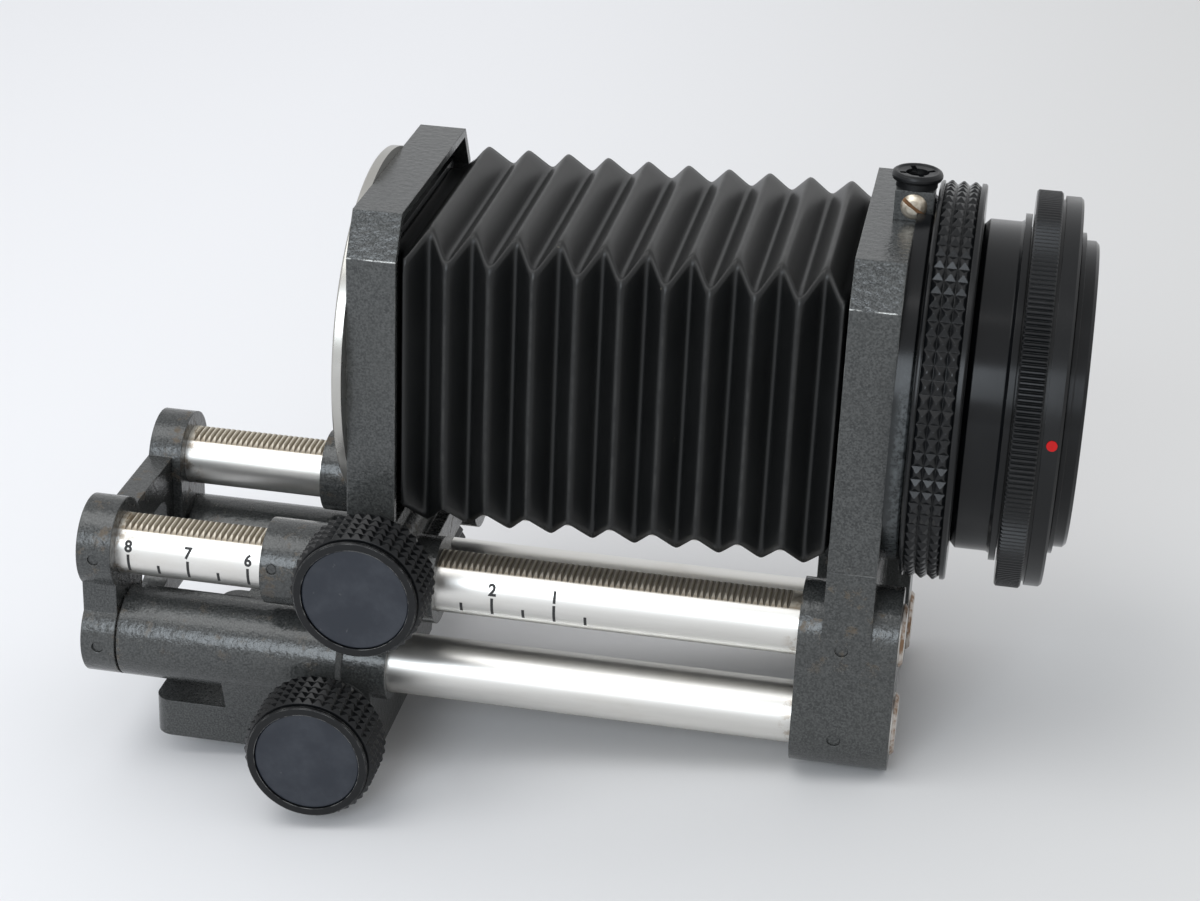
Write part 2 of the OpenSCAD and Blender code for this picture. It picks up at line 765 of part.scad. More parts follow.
module camera_frame_screws() {
    color("silver")
        for (s = [-1, 1])
            translate([(cf_x0 + cf_x1) / 2, s * 8, 0])
                difference() {
                    union() {
                        translate([0, 0, seam_z - 11])
                            cylinder(r = 2.7, h = 1.6);
                        translate([0, 0, seam_z - 9.4 - eps])
                            cylinder(r = 1.5, h = 11.4);
                    }
                    translate([-3, -0.4, seam_z - 11.5])
                        cube([6, 0.8, 1.3]);
                }
}

module lens_standard() {
    color("dimgray")
        difference() {
            union() {
                slab(standard_x, ls_x1)
                    frame_outline(upper_z + rod_r);
                along_x(sleeve_x0, sleeve_x0 + near_sleeve_len, -rod_y, upper_z, sleeve_d / 2);
                along_x(sleeve_x0, sleeve_x0 + far_sleeve_len, rod_y, upper_z, sleeve_d / 2);
                block(standard_x, ls_x1 + 4, -rod_y, rod_y, upper_z - 1, upper_z + rod_r);
                drive_boss(upper_drive);
            }
            for (s = [-1, 1])
                along_x(sleeve_x0 - 1, ls_x1 + near_sleeve_len, s * rod_y, upper_z, rod_r + run);
            drive_bore(upper_drive);
            along_x(standard_x - 1, ls_x1 + 1, 0, axis_z, light_r);
            along_x(standard_x - 1, standard_x + spigot_len, 0, axis_z, spigot_d / 2 + press);
            bellows_tray(ls_x1 - tray_depth, ls_x1 + 1);
            along_y(-rod_y - sleeve_d, -rod_y - rod_r + 1, sleeve_x0 + 2, upper_z + 1.8,
                plug_d / 2 + press);
            mount_screw_places()
                along_x(standard_x - 1, standard_x + 4.2, 0, 0, 0.9 + press);
        }
}

module carriage_plug() {
    color("gray")
        along_y(-rod_y - sleeve_d / 2 + 0.3, -rod_y - rod_r - 0.25, sleeve_x0 + 2,
            upper_z + 1.8, plug_d / 2);
}

// ---- lens mount ----

module mount_screw_places() {
    r = (mount_ring_d + spigot_d) / 4 + 0.1;
    translate([0, 0, axis_z])
        for (a = [45 : 90 : 315])
            rotate([a, 0, 0])
                translate([0, 0, r])
                    children();
}

module lens_mount() {
    x0 = standard_x - mount_ring_t;
    color("white")
        difference() {
            turned()
                polygon([[throat_d / 2, x0], [mount_ring_d / 2 - 0.25, x0],
                    [mount_ring_d / 2, x0 + 0.25], [mount_ring_d / 2, standard_x],
                    [spigot_d / 2, standard_x], [spigot_d / 2, standard_x + spigot_len - 0.05],
                    [throat_d / 2, standard_x + spigot_len - 0.05]]);
            mount_screw_places() {
                along_x(x0 - 1, standard_x + 1, 0, 0, 0.9 + press);
                along_x(x0 - 1, x0 + 0.8, 0, 0, 1.7 + press);
            }
        }
}

module lens_mount_screws() {
    x0 = standard_x - mount_ring_t;
    color("silver")
        mount_screw_places()
            difference() {
                union() {
                    along_x(x0 + 0.1, x0 + 0.8, 0, 0, 1.7);
                    along_x(x0 + 0.8 - eps, standard_x + 4, 0, 0, 0.9);
                }
                block(x0 - 1, x0 + 0.45, -0.25, 0.25, -2, 2);
            }
}

// ---- bellows ----

bel_x0 = ls_x1;
bel_x1 = cf_x0;
fold_pitch = (bel_x1 - bel_x0 - fold_lead - fold_tail) / (folds - 1);
half_folds = 2 * (folds - 1);
round_w = 0.11 * fold_pitch;

// Stations along the cloth: X, half width and half height of its outer face
stations = concat(
    [[bel_x0 - tray_depth + plate_t, bellows_end, bellows_end],
     [bel_x0 - 0.2, bellows_end, bellows_end]],
    [for (k = [-1 : half_folds + 1], j = [-1 : 1]) if (j == 0 || k >= 0 && k <= half_folds)
        let (x = bel_x0 + fold_lead + (k / 2) * fold_pitch,
            soft = fold_depth * (j == 0 ? 0.07 : 0.22),
            out = bellows_half - soft,
            inn = bellows_half - fold_depth + soft)
        [x + j * round_w, k % 2 == 0 ? inn : out, k % 2 == 0 ? out : inn]],
    [[bel_x1 - 0.05, bellows_end, bellows_end],
     [bel_x1 + seat_depth - plate_t, bellows_end, bellows_end]]);

module bellows() {
    corner = 0.8;
    ring = function (s, t)
        let (y = s[1] - t, z = s[2] - t)
        [[s[0], y - corner, z], [s[0], -y + corner, z], [s[0], -y, z - corner],
         [s[0], -y, -z + corner], [s[0], -y + corner, -z], [s[0], y - corner, -z],
         [s[0], y, -z + corner], [s[0], y, z - corner]];
    n = len(stations);
    pts = concat([for (s = stations) each ring(s, 0)],
        [for (s = stations) each ring(s, cloth_t)]);
    inner = 8 * n;
    side = [for (i = [0 : n - 2], j = [0 : 7])
        let (a = 8 * i + j, b = 8 * i + (j + 1) % 8, c = b + 8, d = a + 8)
        each [[a, b, c], [a, c, d], [inner + a, inner + c, inner + b],
            [inner + a, inner + d, inner + c]]];
    ends = [for (j = [0 : 7])
        let (a = j, b = (j + 1) % 8, e = 8 * (n - 1))
        each [[b, a, inner + a], [b, inner + a, inner + b],
            [e + a, e + b, inner + e + b], [e + a, inner + e + b, inner + e + a]]];
    color([0.08, 0.08, 0.09])
        translate([0, 0, axis_z])
            polyhedron(points = pts, faces = concat(side, ends));
}

// Thin square plate that clamps an end of the cloth
module bellows_plate(x0) {
    w = bellows_end - 2;
    color("black")
        difference() {
            block(x0, x0 + plate_t, -plate_half, plate_half,
                axis_z - plate_half, axis_z + plate_half);
            block(x0 - 1, x0 + plate_t + 1, -w, w, axis_z - w, axis_z + w);
        }
}

module bellows_lens_plate() { bellows_plate(ls_x1 - tray_depth); }
module bellows_camera_plate() { bellows_plate(cf_x0 + seat_depth - plate_t); }

// ---- camera flange and adapter ----

module flange_screw_places() {
    r = (hub_d + flange_bore_d) / 4;
    translate([0, 0, axis_z])
        for (a = [45 : 90 : 315])
            rotate([a, 0, 0])
                translate([0, 0, r])
                    children();
}

module mount_flange() {
    color([0.1, 0.1, 0.11])
        difference() {
            turned()
                polygon([[flange_bore_d / 2, cf_x1], [flange_d / 2, cf_x1],
                    [flange_d / 2, fl_x1 - 0.3], [flange_d / 2 - 0.3, fl_x1],
                    [hub_d / 2, fl_x1], [hub_d / 2, hub_x1], [flange_bore_d / 2, hub_x1]]);
            flange_screw_places() {
                along_x(cf_x1 - 1, hub_x1 + 1, 0, 0, 0.9 + press);
                along_x(cf_x1 + 2.5, hub_x1 + 1, 0, 0, 1.6 + press);
            }
            block(cf_x1 - 1, fl_x1 + 0.1, -rel_w / 2 - 0.95, rel_w / 2 + 0.95,
                frame_top - 0.85, axis_z + flange_d);
        }
}

module mount_flange_screws() {
    color("silver")
        flange_screw_places()
            difference() {
                union() {
                    along_x(cf_x1 + 2.5, cf_x1 + 4, 0, 0, 1.6);
                    along_x(cf_x0 + seat_depth + 1.2, cf_x1 + 2.5 + eps, 0, 0, 0.9);
                }
                block(cf_x1 + 3.3, cf_x1 + 5, -0.25, 0.25, -2, 2);
            }
}

// Rear face of the part of the adapter that the locking ring clamps
clamp_x = hub_x1 + 0.8;

module locking_ring() {
    r = lock_ring_d / 2;
    low = r - knurl_depth - knurl_under;
    flat = 0.12;
    x0 = lr_x0 + lock_ring_lip;
    knurl_end = x0 + lock_ring_rows * lock_ring_row;
    lip_x = clamp_x + face_gap;
    neck_r = barrel_d / 2 - barrel_neck + face_gap;
    crown = [for (i = [0 : lock_ring_rows - 1])
        let (x = x0 + i * lock_ring_row)
        each [[low, x], [r, x + lock_ring_row / 2 - flat],
            [r, x + lock_ring_row / 2 + flat]]];
    color([0.12, 0.12, 0.13])
        difference() {
            turned()
                polygon(concat([[hub_d / 2 + 2 * run, lr_x0], [r - 0.35, lr_x0],
                    [r - 0.1, lr_x0 + 0.25], [r - 0.1, x0 - 0.15],
                    [low - 0.1, x0 - 0.15], [low - 0.1, x0]], crown,
                    [[low, knurl_end], [low - 0.1, knurl_end], [low - 0.1, knurl_end + 0.12],
                     [r - 0.1, knurl_end + 0.12], [r - 0.1, lr_x1 - 0.25], [r - 0.35, lr_x1],
                     [neck_r, lr_x1], [neck_r, lip_x], [hub_d / 2 + 2 * run, lip_x]]));
            translate([x0 - 0.07, 0, axis_z])
                rotate([0, 90, 0])
                    linear_extrude(knurl_end - x0 + 0.13)
                        difference() {
                            circle(r + 2);
                            star(r, knurl_depth, lock_ring_points);
                        }
        }
}

module adapter_body() {
    r = barrel_d / 2;
    neck_r = r - barrel_neck;
    color([0.1, 0.1, 0.11])
        turned()
            polygon([[adapter_bore_d / 2, hub_x1], [hub_d / 2 - 0.1, hub_x1],
                [hub_d / 2 - 0.1, clamp_x], [neck_r, clamp_x], [neck_r, lr_x1 + 0.13],
                [r, lr_x1 + 0.98], [r, bar_x1 - 0.5], [r + 0.3, bar_x1],
                [step_d / 2, bar_x1], [step_d / 2, step_x1], [core_d / 2, step_x1],
                [core_d / 2, core_x1], [adapter_bore_d / 2, core_x1]]);
}

module bayonet_nose() {
    r = nose_d / 2;
    color([0.1, 0.1, 0.11])
        turned()
            polygon([[adapter_bore_d / 2, core_x1], [r, core_x1], [r, band_x1 + face_gap],
                [lug_d / 2, band_x1 + face_gap], [lug_d / 2, band_x1 + face_gap + 0.7],
                [r, band_x1 + face_gap + 0.7], [r, nose_x1 - 0.5], [r - 0.5, nose_x1],
                [adapter_bore_d / 2 + 0.6, nose_x1], [adapter_bore_d / 2, nose_x1 - 0.6]]);
}

module breech_ring() {
    r = rib_ring_d / 2;
    color([0.12, 0.12, 0.13])
        difference() {
            turned()
                polygon([[core_d / 2 + 2 * run, br_x0], [rib_ring_d / 2 - 0.3, br_x0],
                    [rib_ring_d / 2, br_x0 + 0.3], [rib_ring_d / 2, rib_x1 - 0.3],
                    [rib_ring_d / 2 - 0.3, rib_x1], [band_d / 2 - 0.6, rib_x1],
                    [band_d / 2 - 0.6, band_x0], [band_d / 2, band_x0],
                    [band_d / 2, band_x1 - 0.4], [band_d / 2 - 0.4, band_x1],
                    [nose_d / 2 + face_gap, band_x1], [nose_d / 2 + face_gap, core_x1 + face_gap],
                    [core_d / 2 + 2 * run, core_x1 + face_gap]]);
            dot_place()
                translate([0, 0, -0.4])
                    cylinder(r = dot_d / 2 + press, h = 2);
            translate([br_x0 - 1, 0, axis_z])
                rotate([0, 90, 0])
                    linear_extrude(rib_ring_len + 1 + 0.25)
                        difference() {
                            circle(r + 2);
                            star(r, rib_depth, ribs);
                        }
        }
}

module dot_place() {
    translate([(band_x0 + band_x1) / 2, 0, axis_z])
        rotate([90 - dot_angle, 0, 0])
            translate([0, 0, band_d / 2])
                children();
}

module index_dot() {
    color("red")
        dot_place()
            translate([0, 0, -0.4])
                cylinder(r = dot_d / 2, h = 0.5);
}

// ---- release socket on the camera frame ----

module release_block() {
    color("dimgray")
        difference() {
            union() {
                block(rel_x0, rel_x1, -rel_w / 2, rel_w / 2, frame_top, rel_z1);
                block(cf_x1, rel_x1, -rel_w / 2, rel_w / 2, frame_top - 0.65, frame_top + eps);
            }
            translate([rel_x, 0, rel_z1 - rel_depth])
                cylinder(r = rel_bore_r + press, h = rel_depth + 1);
            along_y(-rel_w, -rel_bore_r + 0.2, rel_x, frame_top + rel_h / 2, 0.8 + press);
        }
}

// Socket with a rounded rim round a dished top, and a crossed slot in the dish
module release_socket() {
    r = rel_flange_d / 2;
    z1 = rel_z1 + rel_neck_h;
    t = rel_flange_t;
    dish_r = r - 1.05;
    color("black")
        translate([rel_x, 0, 0])
            difference() {
                union() {
                    translate([0, 0, rel_z1 - rel_depth])
                        cylinder(r = rel_bore_r, h = rel_depth + eps);
                    translate([0, 0, rel_z1])
                        cylinder(r = rel_neck_d / 2, h = rel_neck_h + eps);
                    rotate_extrude()
                        polygon([[0, z1], [r - 0.55, z1], [r - 0.2, z1 + 0.1 * t],
                            [r, z1 + 0.35 * t], [r, z1 + 0.6 * t], [r - 0.17, z1 + 0.85 * t],
                            [r - 0.5, z1 + t], [r - 0.75, z1 + t], [dish_r, z1 + 0.85 * t],
                            [0, z1 + 0.65 * t]]);
                }
                translate([0, 0, rel_z1 - rel_depth - 1])
                    cylinder(r = rel_in_r, h = rel_depth + 0.8);
                translate([0, 0, rel_z1 - 1])
                    cylinder(r = stem_d / 2 + 0.1, h = 5);
                translate([0, 0, rel_top - 2])
                    cylinder(r = rel_in_r, h = 3);
                for (a = [20, 110])
                    rotate([0, 0, a])
                        translate([0.1 - dish_r, -0.4, rel_top - 0.8])
                            cube([2 * dish_r - 0.2, 0.8, 1]);
            }
}

// Collar of the plunger, its top under the socket's shoulder
collar_top = rel_z1 - 0.3;
collar_t = 0.7;
spring_wire = 0.16;
spring_turns = 4;

module release_plunger() {
    color("silver")
        translate([rel_x, 0, 0]) {
            translate([0, 0, collar_top - collar_t - 0.7])
                cylinder(r = stem_d / 2, h = rel_top - 1.4 - collar_top + collar_t + 0.7);
            translate([0, 0, collar_top - collar_t])
                cylinder(r = rel_in_r - 0.1, h = collar_t);
        }
}

// Coil between the block's bottom and the plunger's collar
module release_spring() {
    z0 = rel_z1 - rel_depth + spring_wire + 0.02;
    z1 = collar_top - collar_t - spring_wire - 0.02;
    coil_r = rel_in_r - 0.12 - spring_wire;
    steps = 16;
    sides = 6;
    n = steps * spring_turns;
    pts = [for (i = [0 : n], j = [0 : sides - 1])
        let (a = 360 * i / steps,
            q = coil_r + spring_wire * cos(360 * j / sides),
            z = z0 + (z1 - z0) * i / n + spring_wire * sin(360 * j / sides))
        [q * cos(a), q * sin(a), z]];
    faces = concat(
        [for (i = [0 : n - 1], j = [0 : sides - 1])
            let (a = sides * i + j, b = sides * i + (j + 1) % sides)
            each [[a, a + sides, b + sides], [a, b + sides, b]]],
        [for (j = [1 : sides - 2]) [0, j, j + 1]],
        [for (j = [1 : sides - 2]) [sides * n, sides * n + j + 1, sides * n + j]]);
    color("silver")
        translate([rel_x, 0, 0])
            polyhedron(points = pts, faces = faces);
}

module release_screw() {
    z = frame_top + rel_h / 2;
    color("silver")
        difference() {
            union() {
                translate([rel_x, -rel_w / 2, z])
                    rotate([90, 0, 0])
                        rotate_extrude()
                            polygon([[0, 0], [2, 0], [2, 0.15], [1.7, 0.45], [1.1, 0.63],
                                [0, 0.7]]);
                along_y(-rel_w / 2 - eps, -rel_bore_r - 0.05, rel_x, z, 0.8);
            }
            translate([rel_x, -rel_w / 2 - 0.7, z])
                rotate([0, 35, 0])
                    cube([5, 0.8, 0.5], center = true);
        }
}

tripod_block();
tripod_bush();
lower_shaft_bushes();
lower_pinion_shaft();
lower_drive_knob();
lower_knob_cap();
lower_knob_screw();
lower_lock_knob();
lower_lock_cap();
near_upper_rail();
far_upper_rail();
near_lower_rail();
far_lower_rail();
end_bracket();
end_bracket_pins();
camera_foot();
camera_foot_pins();
camera_frame();
camera_frame_screws();
mount_flange();
mount_flange_screws();
adapter_body();
bayonet_nose();
release_block();
release_socket();
release_spring();
release_screw();
bellows();
bellows_camera_plate();
locking_ring();
breech_ring();
index_dot();
release_plunger();
lens_standard();
lens_mount();
lens_mount_screws();
bellows_lens_plate();
carriage_plug();
upper_shaft_bushes();
upper_pinion_shaft();
upper_drive_knob();
upper_knob_cap();
upper_knob_screw();
upper_lock_knob();
upper_lock_cap();
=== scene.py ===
import math

import bmesh
import bpy
import numpy as np
from mathutils import Matrix, Vector


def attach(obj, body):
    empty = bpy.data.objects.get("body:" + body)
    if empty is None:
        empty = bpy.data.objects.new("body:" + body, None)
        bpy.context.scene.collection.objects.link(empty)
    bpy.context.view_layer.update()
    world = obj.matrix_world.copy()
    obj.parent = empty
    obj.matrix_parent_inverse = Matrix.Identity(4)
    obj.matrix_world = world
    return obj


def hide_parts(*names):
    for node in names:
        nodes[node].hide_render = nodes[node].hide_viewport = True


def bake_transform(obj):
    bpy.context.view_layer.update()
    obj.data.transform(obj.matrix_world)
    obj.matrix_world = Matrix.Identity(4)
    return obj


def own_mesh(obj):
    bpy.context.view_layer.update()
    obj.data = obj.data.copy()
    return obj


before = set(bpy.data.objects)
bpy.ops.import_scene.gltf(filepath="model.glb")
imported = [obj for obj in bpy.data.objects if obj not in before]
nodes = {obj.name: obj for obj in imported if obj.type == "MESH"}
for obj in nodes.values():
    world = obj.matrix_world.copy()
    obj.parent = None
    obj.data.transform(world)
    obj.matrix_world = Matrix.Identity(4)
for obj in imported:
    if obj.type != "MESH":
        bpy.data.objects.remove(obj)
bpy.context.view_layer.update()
mm = 0.001     # the dictionaries give places and sizes in mm, unless a note says otherwise

axisZ = 70.25     # the optical axis
rails = {"halfSpan": 17.5, "upperZ": 34.0, "lowerZ": 18.0, "radius": 5.0}


def addObject(name, data):
    made = bpy.data.objects.new(name, data)
    bpy.context.scene.collection.objects.link(made)
    return made


def meshOf(item):     # an object's mesh as its modifiers leave it
    bpy.context.view_layer.update()
    graph = bpy.context.evaluated_depsgraph_get()
    return bpy.data.meshes.new_from_object(item.evaluated_get(graph))


def edit(mesh, change):     # changes a mesh in place
    work = bmesh.new()
    work.from_mesh(mesh)
    change(work)
    work.to_mesh(mesh)
    work.free()


def plug(value, node, key):     # a link from a Wire, else the socket's own value
    if isinstance(value, Wire):
        value.tree.links.new(value.socket, node.inputs[key])
    else:
        node.inputs[key].default_value = value


class Wire:     # one socket, with arithmetic that adds Math nodes
    def __init__(self, tree, socket=None):
        self.tree = tree
        self.socket = socket

    def node(self, kind, settings=None, values=None, out=0):
        made = self.tree.nodes.new(kind)
        for key, value in (settings or {}).items():
            setattr(made, key, value)
        for key, value in (values or {}).items():
            plug(value, made, key)
        return Wire(self.tree, made.outputs[out] if len(made.outputs) else None)

    def maths(self, operation, a, b=0.0, c=0.0):
        return self.node("ShaderNodeMath", {"operation": operation}, {0: a, 1: b, 2: c})

    def __add__(self, other): return self.maths("ADD", self, other)
    def __radd__(self, other): return self.maths("ADD", other, self)
    def __sub__(self, other): return self.maths("SUBTRACT", self, other)
    def __rsub__(self, other): return self.maths("SUBTRACT", other, self)
    def __mul__(self, other): return self.maths("MULTIPLY", self, other)
    def __rmul__(self, other): return self.maths("MULTIPLY", other, self)
    def __truediv__(self, other): return self.maths("DIVIDE", self, other)
    def __rtruediv__(self, other): return self.maths("DIVIDE", other, self)
    def __gt__(self, other): return self.maths("GREATER_THAN", self, other)
    def __lt__(self, other): return self.maths("LESS_THAN", self, other)
    def __abs__(self): return self.maths("ABSOLUTE", self)

    def low(self, other): return self.maths("MINIMUM", self, other)
    def high(self, other): return self.maths("MAXIMUM", self, other)
    def fraction(self): return self.maths("FRACT", self)
    def root(self): return self.maths("SQRT", self)
    def sine(self): return self.maths("SINE", self)
    def cosine(self): return self.maths("COSINE", self)

    def softCut(self, least, most, blend):     # kept between two values, with a soft knee at each
        return self.maths("SMOOTH_MAX", self.maths("SMOOTH_MIN", self, most, blend), least, blend)

    def between(self, start, end):     # smooth step from 0 at start to 1 at end
        return self.node("ShaderNodeMapRange", {"interpolation_type": "SMOOTHSTEP"},
                         {0: self, 1: start, 2: end, 3: 0.0, 4: 1.0})

    def step(self, start, end):     # the same for a place in mm
        return self.between(start * mm, end * mm)

    def band(self, rise, fall):     # 1 from one step to the next
        return self.step(*rise) * (1.0 - self.step(*fall))

    def axes(self):     # a vector's three numbers
        split = self.node("ShaderNodeSeparateXYZ", None, {0: self})
        return [Wire(self.tree, socket) for socket in split.socket.node.outputs]


def mixColour(mask, a, b):     # a where the mask is 0, b where it is 1
    start = next(value for value in (mask, a, b) if isinstance(value, Wire))
    a, b = (c if isinstance(c, Wire) else (*c, 1.0) for c in (a, b))
    return start.node("ShaderNodeMix", {"data_type": "RGBA"}, {0: mask, 6: a, 7: b}, 2)


handled = {"noise": (260.0, 4.0, 0.6), "soft": 0.12}     # where hands have rubbed a finish
samples = {"edge": 6, "bump": 4}                         # of the Bevel nodes


class Finish:     # a Principled material, painted by its place on the object
    def __init__(self, name, specular=0.5):
        self.material = bpy.data.materials.new(name)
        self.material.use_nodes = True
        self.material.node_tree.nodes.clear()
        self.start = Wire(self.material.node_tree)
        surface = self.start.node("ShaderNodeBsdfPrincipled", None,
                                  {"Specular IOR Level": specular})
        self.start.node("ShaderNodeOutputMaterial", None, {0: surface})
        self.shader = surface.socket.node
        self.place = self.start.node("ShaderNodeTexCoord", out=3)
        self.x, self.y, self.z = self.place.axes()

    def put(self, **sockets):
        names = {"baseColor": "Base Color", "roughness": "Roughness",
                 "metallic": "Metallic", "normal": "Normal"}
        for key, value in sockets.items():
            plug(value, self.shader, names[key])

    def noise(self, scale, detail=2.0, rough=0.5, stretch=None):
        where = self.place
        if stretch:
            where = self.start.node("ShaderNodeMapping", None, {0: self.place, 3: stretch})
        return self.start.node("ShaderNodeTexNoise", None, {
            "Vector": where, "Scale": scale, "Detail": detail, "Roughness": rough})

    def patches(self, scale, detail, rough, start, end, stretch=None):     # noise cut to spots
        return self.noise(scale, detail, rough, stretch).between(start, end)

    def wear(self, strength):
        middle, soft = 1.0 - strength, handled["soft"]
        return self.noise(*handled["noise"]).between(middle - soft, middle + soft)

    def edge(self, radius, start, end):     # 1 on edges that hands wear
        soft = self.start.node("ShaderNodeBevel", {"samples": samples["edge"]},
                               {"Radius": radius * mm})
        flat = self.start.node("ShaderNodeNewGeometry", out=1)
        dot = self.start.node("ShaderNodeVectorMath", {"operation": "DOT_PRODUCT"},
                              {0: soft, 1: flat}, 1)
        return (1.0 - dot).between(start, end)

    def bump(self, height, strength, distance, radius=None):
        values = {"Strength": strength, "Distance": distance * mm, "Height": height}
        if radius:
            values["Normal"] = self.start.node("ShaderNodeBevel", {"samples": samples["bump"]},
                                               {"Radius": radius * mm})
        return self.start.node("ShaderNodeBump", None, values)


# In the dictionaries of finishes a pattern is a noise's scale, detail and roughness, then
# where its spots start and end, then its stretch. A share is how much of a tone is mixed in.
# bump is strength, depth and the radius of softened edges.
enamel = {
    "dark": (0.026, 0.028, 0.0285), "pale": (0.088, 0.091, 0.090),
    "fleck": (3300.0, 2.0, 0.6, 0.30, 0.72),
    "pool": (900.0, 2.0, 0.5, 0.3, 0.7), "poolTone": (0.060, 0.063, 0.062), "poolShare": 0.3,
    "cloud": (45.0, 2.0, 0.5, 0.35, 0.75), "cloudTone": (0.07, 0.072, 0.068), "cloudShare": 0.3,
    "dirt": (330.0, 5.0, 0.7, 0.55, 0.68), "dirtTone": (0.125, 0.088, 0.05), "dirtShare": 0.55,
    "seatZ": ((26.0, 36.0), (43.0, 50.0)),             # dirt round the upper rods,
    "cornerX": ((-26.2, -24.8), (-24.3, -21.5)),       # by the end bracket
    "troughZ": ((17.0, 21.0), (24.5, 26.0)),           # and between the block's sleeves
    "troughEndX": 22.0, "troughShare": 0.6,
    "bare": (0.50, 0.50, 0.48), "bareShare": 0.9,
    "edge": (0.3, 0.08, 0.2), "edgeWear": 0.45,
    "wornZ": (36.0, 60.0), "wornShares": (0.2, 0.3),   # more wear higher up
    "bevelZ": 90.3, "bevelY": -24.0, "bevelHalf": (0.03, 0.16),     # the frames' rubbed bevel
    "bevelRub": (420.0, 3.0, 0.6, 0.42, 0.56), "bevelShare": 0.85,
    "roughness": 0.17, "fleckRough": 0.10, "dirtRough": 0.3,
    "metallic": 0.25, "bareMetal": 0.6, "fleckHeight": 0.25, "bump": (0.20, 0.14, 0.30),
}


def hammertone():
    look = enamel
    f = Finish("hammertone")
    fleck, pool = f.patches(*look["fleck"]), f.patches(*look["pool"])
    cloud = f.patches(*look["cloud"])
    paint = mixColour(fleck, look["dark"], look["pale"])
    paint = mixColour(pool * look["poolShare"], paint, look["poolTone"])
    paint = mixColour(cloud * look["cloudShare"], paint, look["cloudTone"])
    trough = f.z.band(*look["troughZ"]) * (f.x < look["troughEndX"] * mm)
    sheltered = f.z.band(*look["seatZ"]).high(f.x.band(*look["cornerX"]))
    sheltered = sheltered.high(trough * look["troughShare"])
    dirt = f.patches(*look["dirt"]) * sheltered
    paint = mixColour(dirt * look["dirtShare"], paint, look["dirtTone"])
    worn = f.edge(*look["edge"]) * f.wear(look["edgeWear"])
    worn = worn * (look["wornShares"][0] + f.z.step(*look["wornZ"]) * look["wornShares"][1])
    bevel = 1.0 - (abs(f.z - look["bevelZ"] * mm) * (1 / mm)).between(*look["bevelHalf"])
    bevel = bevel * (f.y < look["bevelY"] * mm) * f.patches(*look["bevelRub"])
    worn = worn.high(bevel * look["bevelShare"])
    f.put(baseColor=mixColour(worn * look["bareShare"], paint, look["bare"]),
          roughness=look["roughness"] + fleck * look["fleckRough"] + dirt * look["dirtRough"],
          metallic=look["metallic"] + worn * look["bareMetal"],
          normal=f.bump(fleck * look["fleckHeight"] + pool, *look["bump"]))
    return f.material


rodSteel = {
    "splitZ": 26.0,     # between the upper and the lower rods
    "streak": (900.0, 2.0, 0.5, (0.06, 1.0, 1.0)),
    "tones": ((0.70, 0.687, 0.655), (0.79, 0.778, 0.748)),
    "stain": (110.0, 4.0, 0.6, 0.52, 0.72, (0.5, 1.0, 1.0)),
    "stainTone": (0.60, 0.55, 0.48), "stainShare": 0.2,
    "rackTop": (3.8, 4.1), "rackFloor": (4.0, 4.6), "rackX": ((-26.0, -23.5), (85.5, 88.0)),
    "tan": (300.0, 3.0, 0.6), "tanTones": ((0.66, 0.59, 0.46), (0.82, 0.77, 0.66)),
    "tanShare": 0.7,
    "grime": (600.0, 2.0), "grimeTones": ((0.12, 0.085, 0.05), (0.26, 0.20, 0.13)),
    "grimeShare": 0.85,
    "ringX": (101.7, 101.9), "ringRadius": (3.4, 4.6),     # rust round the rods' end faces
    "rust": (420.0, 4.0, 0.7, 0.4, 0.6), "rustTone": (0.20, 0.105, 0.045),
    "rustShares": (0.35, 0.6),
    "smearStart": (-24.5, -20.0), "smearEnd": ((83.0, 86.8), (88.0, 90.0)),
    "smear": (500.0, 4.0, 0.7, 0.5, 0.62), "smearTone": (0.28, 0.19, 0.10), "smearShare": 0.6,
    "roughness": 0.33, "streakRough": 0.05, "rackRough": 0.16, "ringRough": 0.2,
    "stainRough": 0.05, "grimeDull": 0.5, "ringDull": 0.5, "bump": (0.02, 0.1),
}


def brightRod():
    look = rodSteel
    f = Finish("brightRod")
    upper = f.z > look["splitZ"] * mm
    centreZ = rails["lowerZ"] * mm + upper * ((rails["upperZ"] - rails["lowerZ"]) * mm)
    rise = f.z - centreZ
    facing = rise * (upper * 2.0 - 1.0)          # towards the rack
    side = abs(f.y) - rails["halfSpan"] * mm
    radial = (side * side + rise * rise).root()
    streak, stain = f.noise(*look["streak"]), f.patches(*look["stain"])
    rack = facing.step(*look["rackTop"]) * f.x.band(*look["rackX"])
    grimy = rack * (1.0 - facing.step(*look["rackFloor"]))
    silver = mixColour(streak, *look["tones"])
    silver = mixColour(stain * look["stainShare"], silver, look["stainTone"])
    tan = mixColour(f.noise(*look["tan"]), *look["tanTones"])
    grime = mixColour(f.noise(*look["grime"]), *look["grimeTones"])
    colour = mixColour(rack * look["tanShare"], silver, tan)
    colour = mixColour(grimy * look["grimeShare"], colour, grime)
    ring = f.x.step(*look["ringX"]) * radial.step(*look["ringRadius"])
    rusty = look["rustShares"][0] + f.patches(*look["rust"]) * look["rustShares"][1]
    colour = mixColour(ring * rusty, colour, look["rustTone"])
    smear = (1.0 - f.x.step(*look["smearStart"])) + f.x.band(*look["smearEnd"])
    smear = smear * f.patches(*look["smear"]) * look["smearShare"]
    colour = mixColour(smear, colour, look["smearTone"])
    roughness = look["roughness"] + streak * look["streakRough"] + rack * look["rackRough"]
    f.put(baseColor=colour,
          roughness=roughness + ring * look["ringRough"] + stain * look["stainRough"],
          metallic=1.0 - grimy * look["grimeDull"] - ring * look["ringDull"],
          normal=f.bump(streak, *look["bump"]))
    return f.material


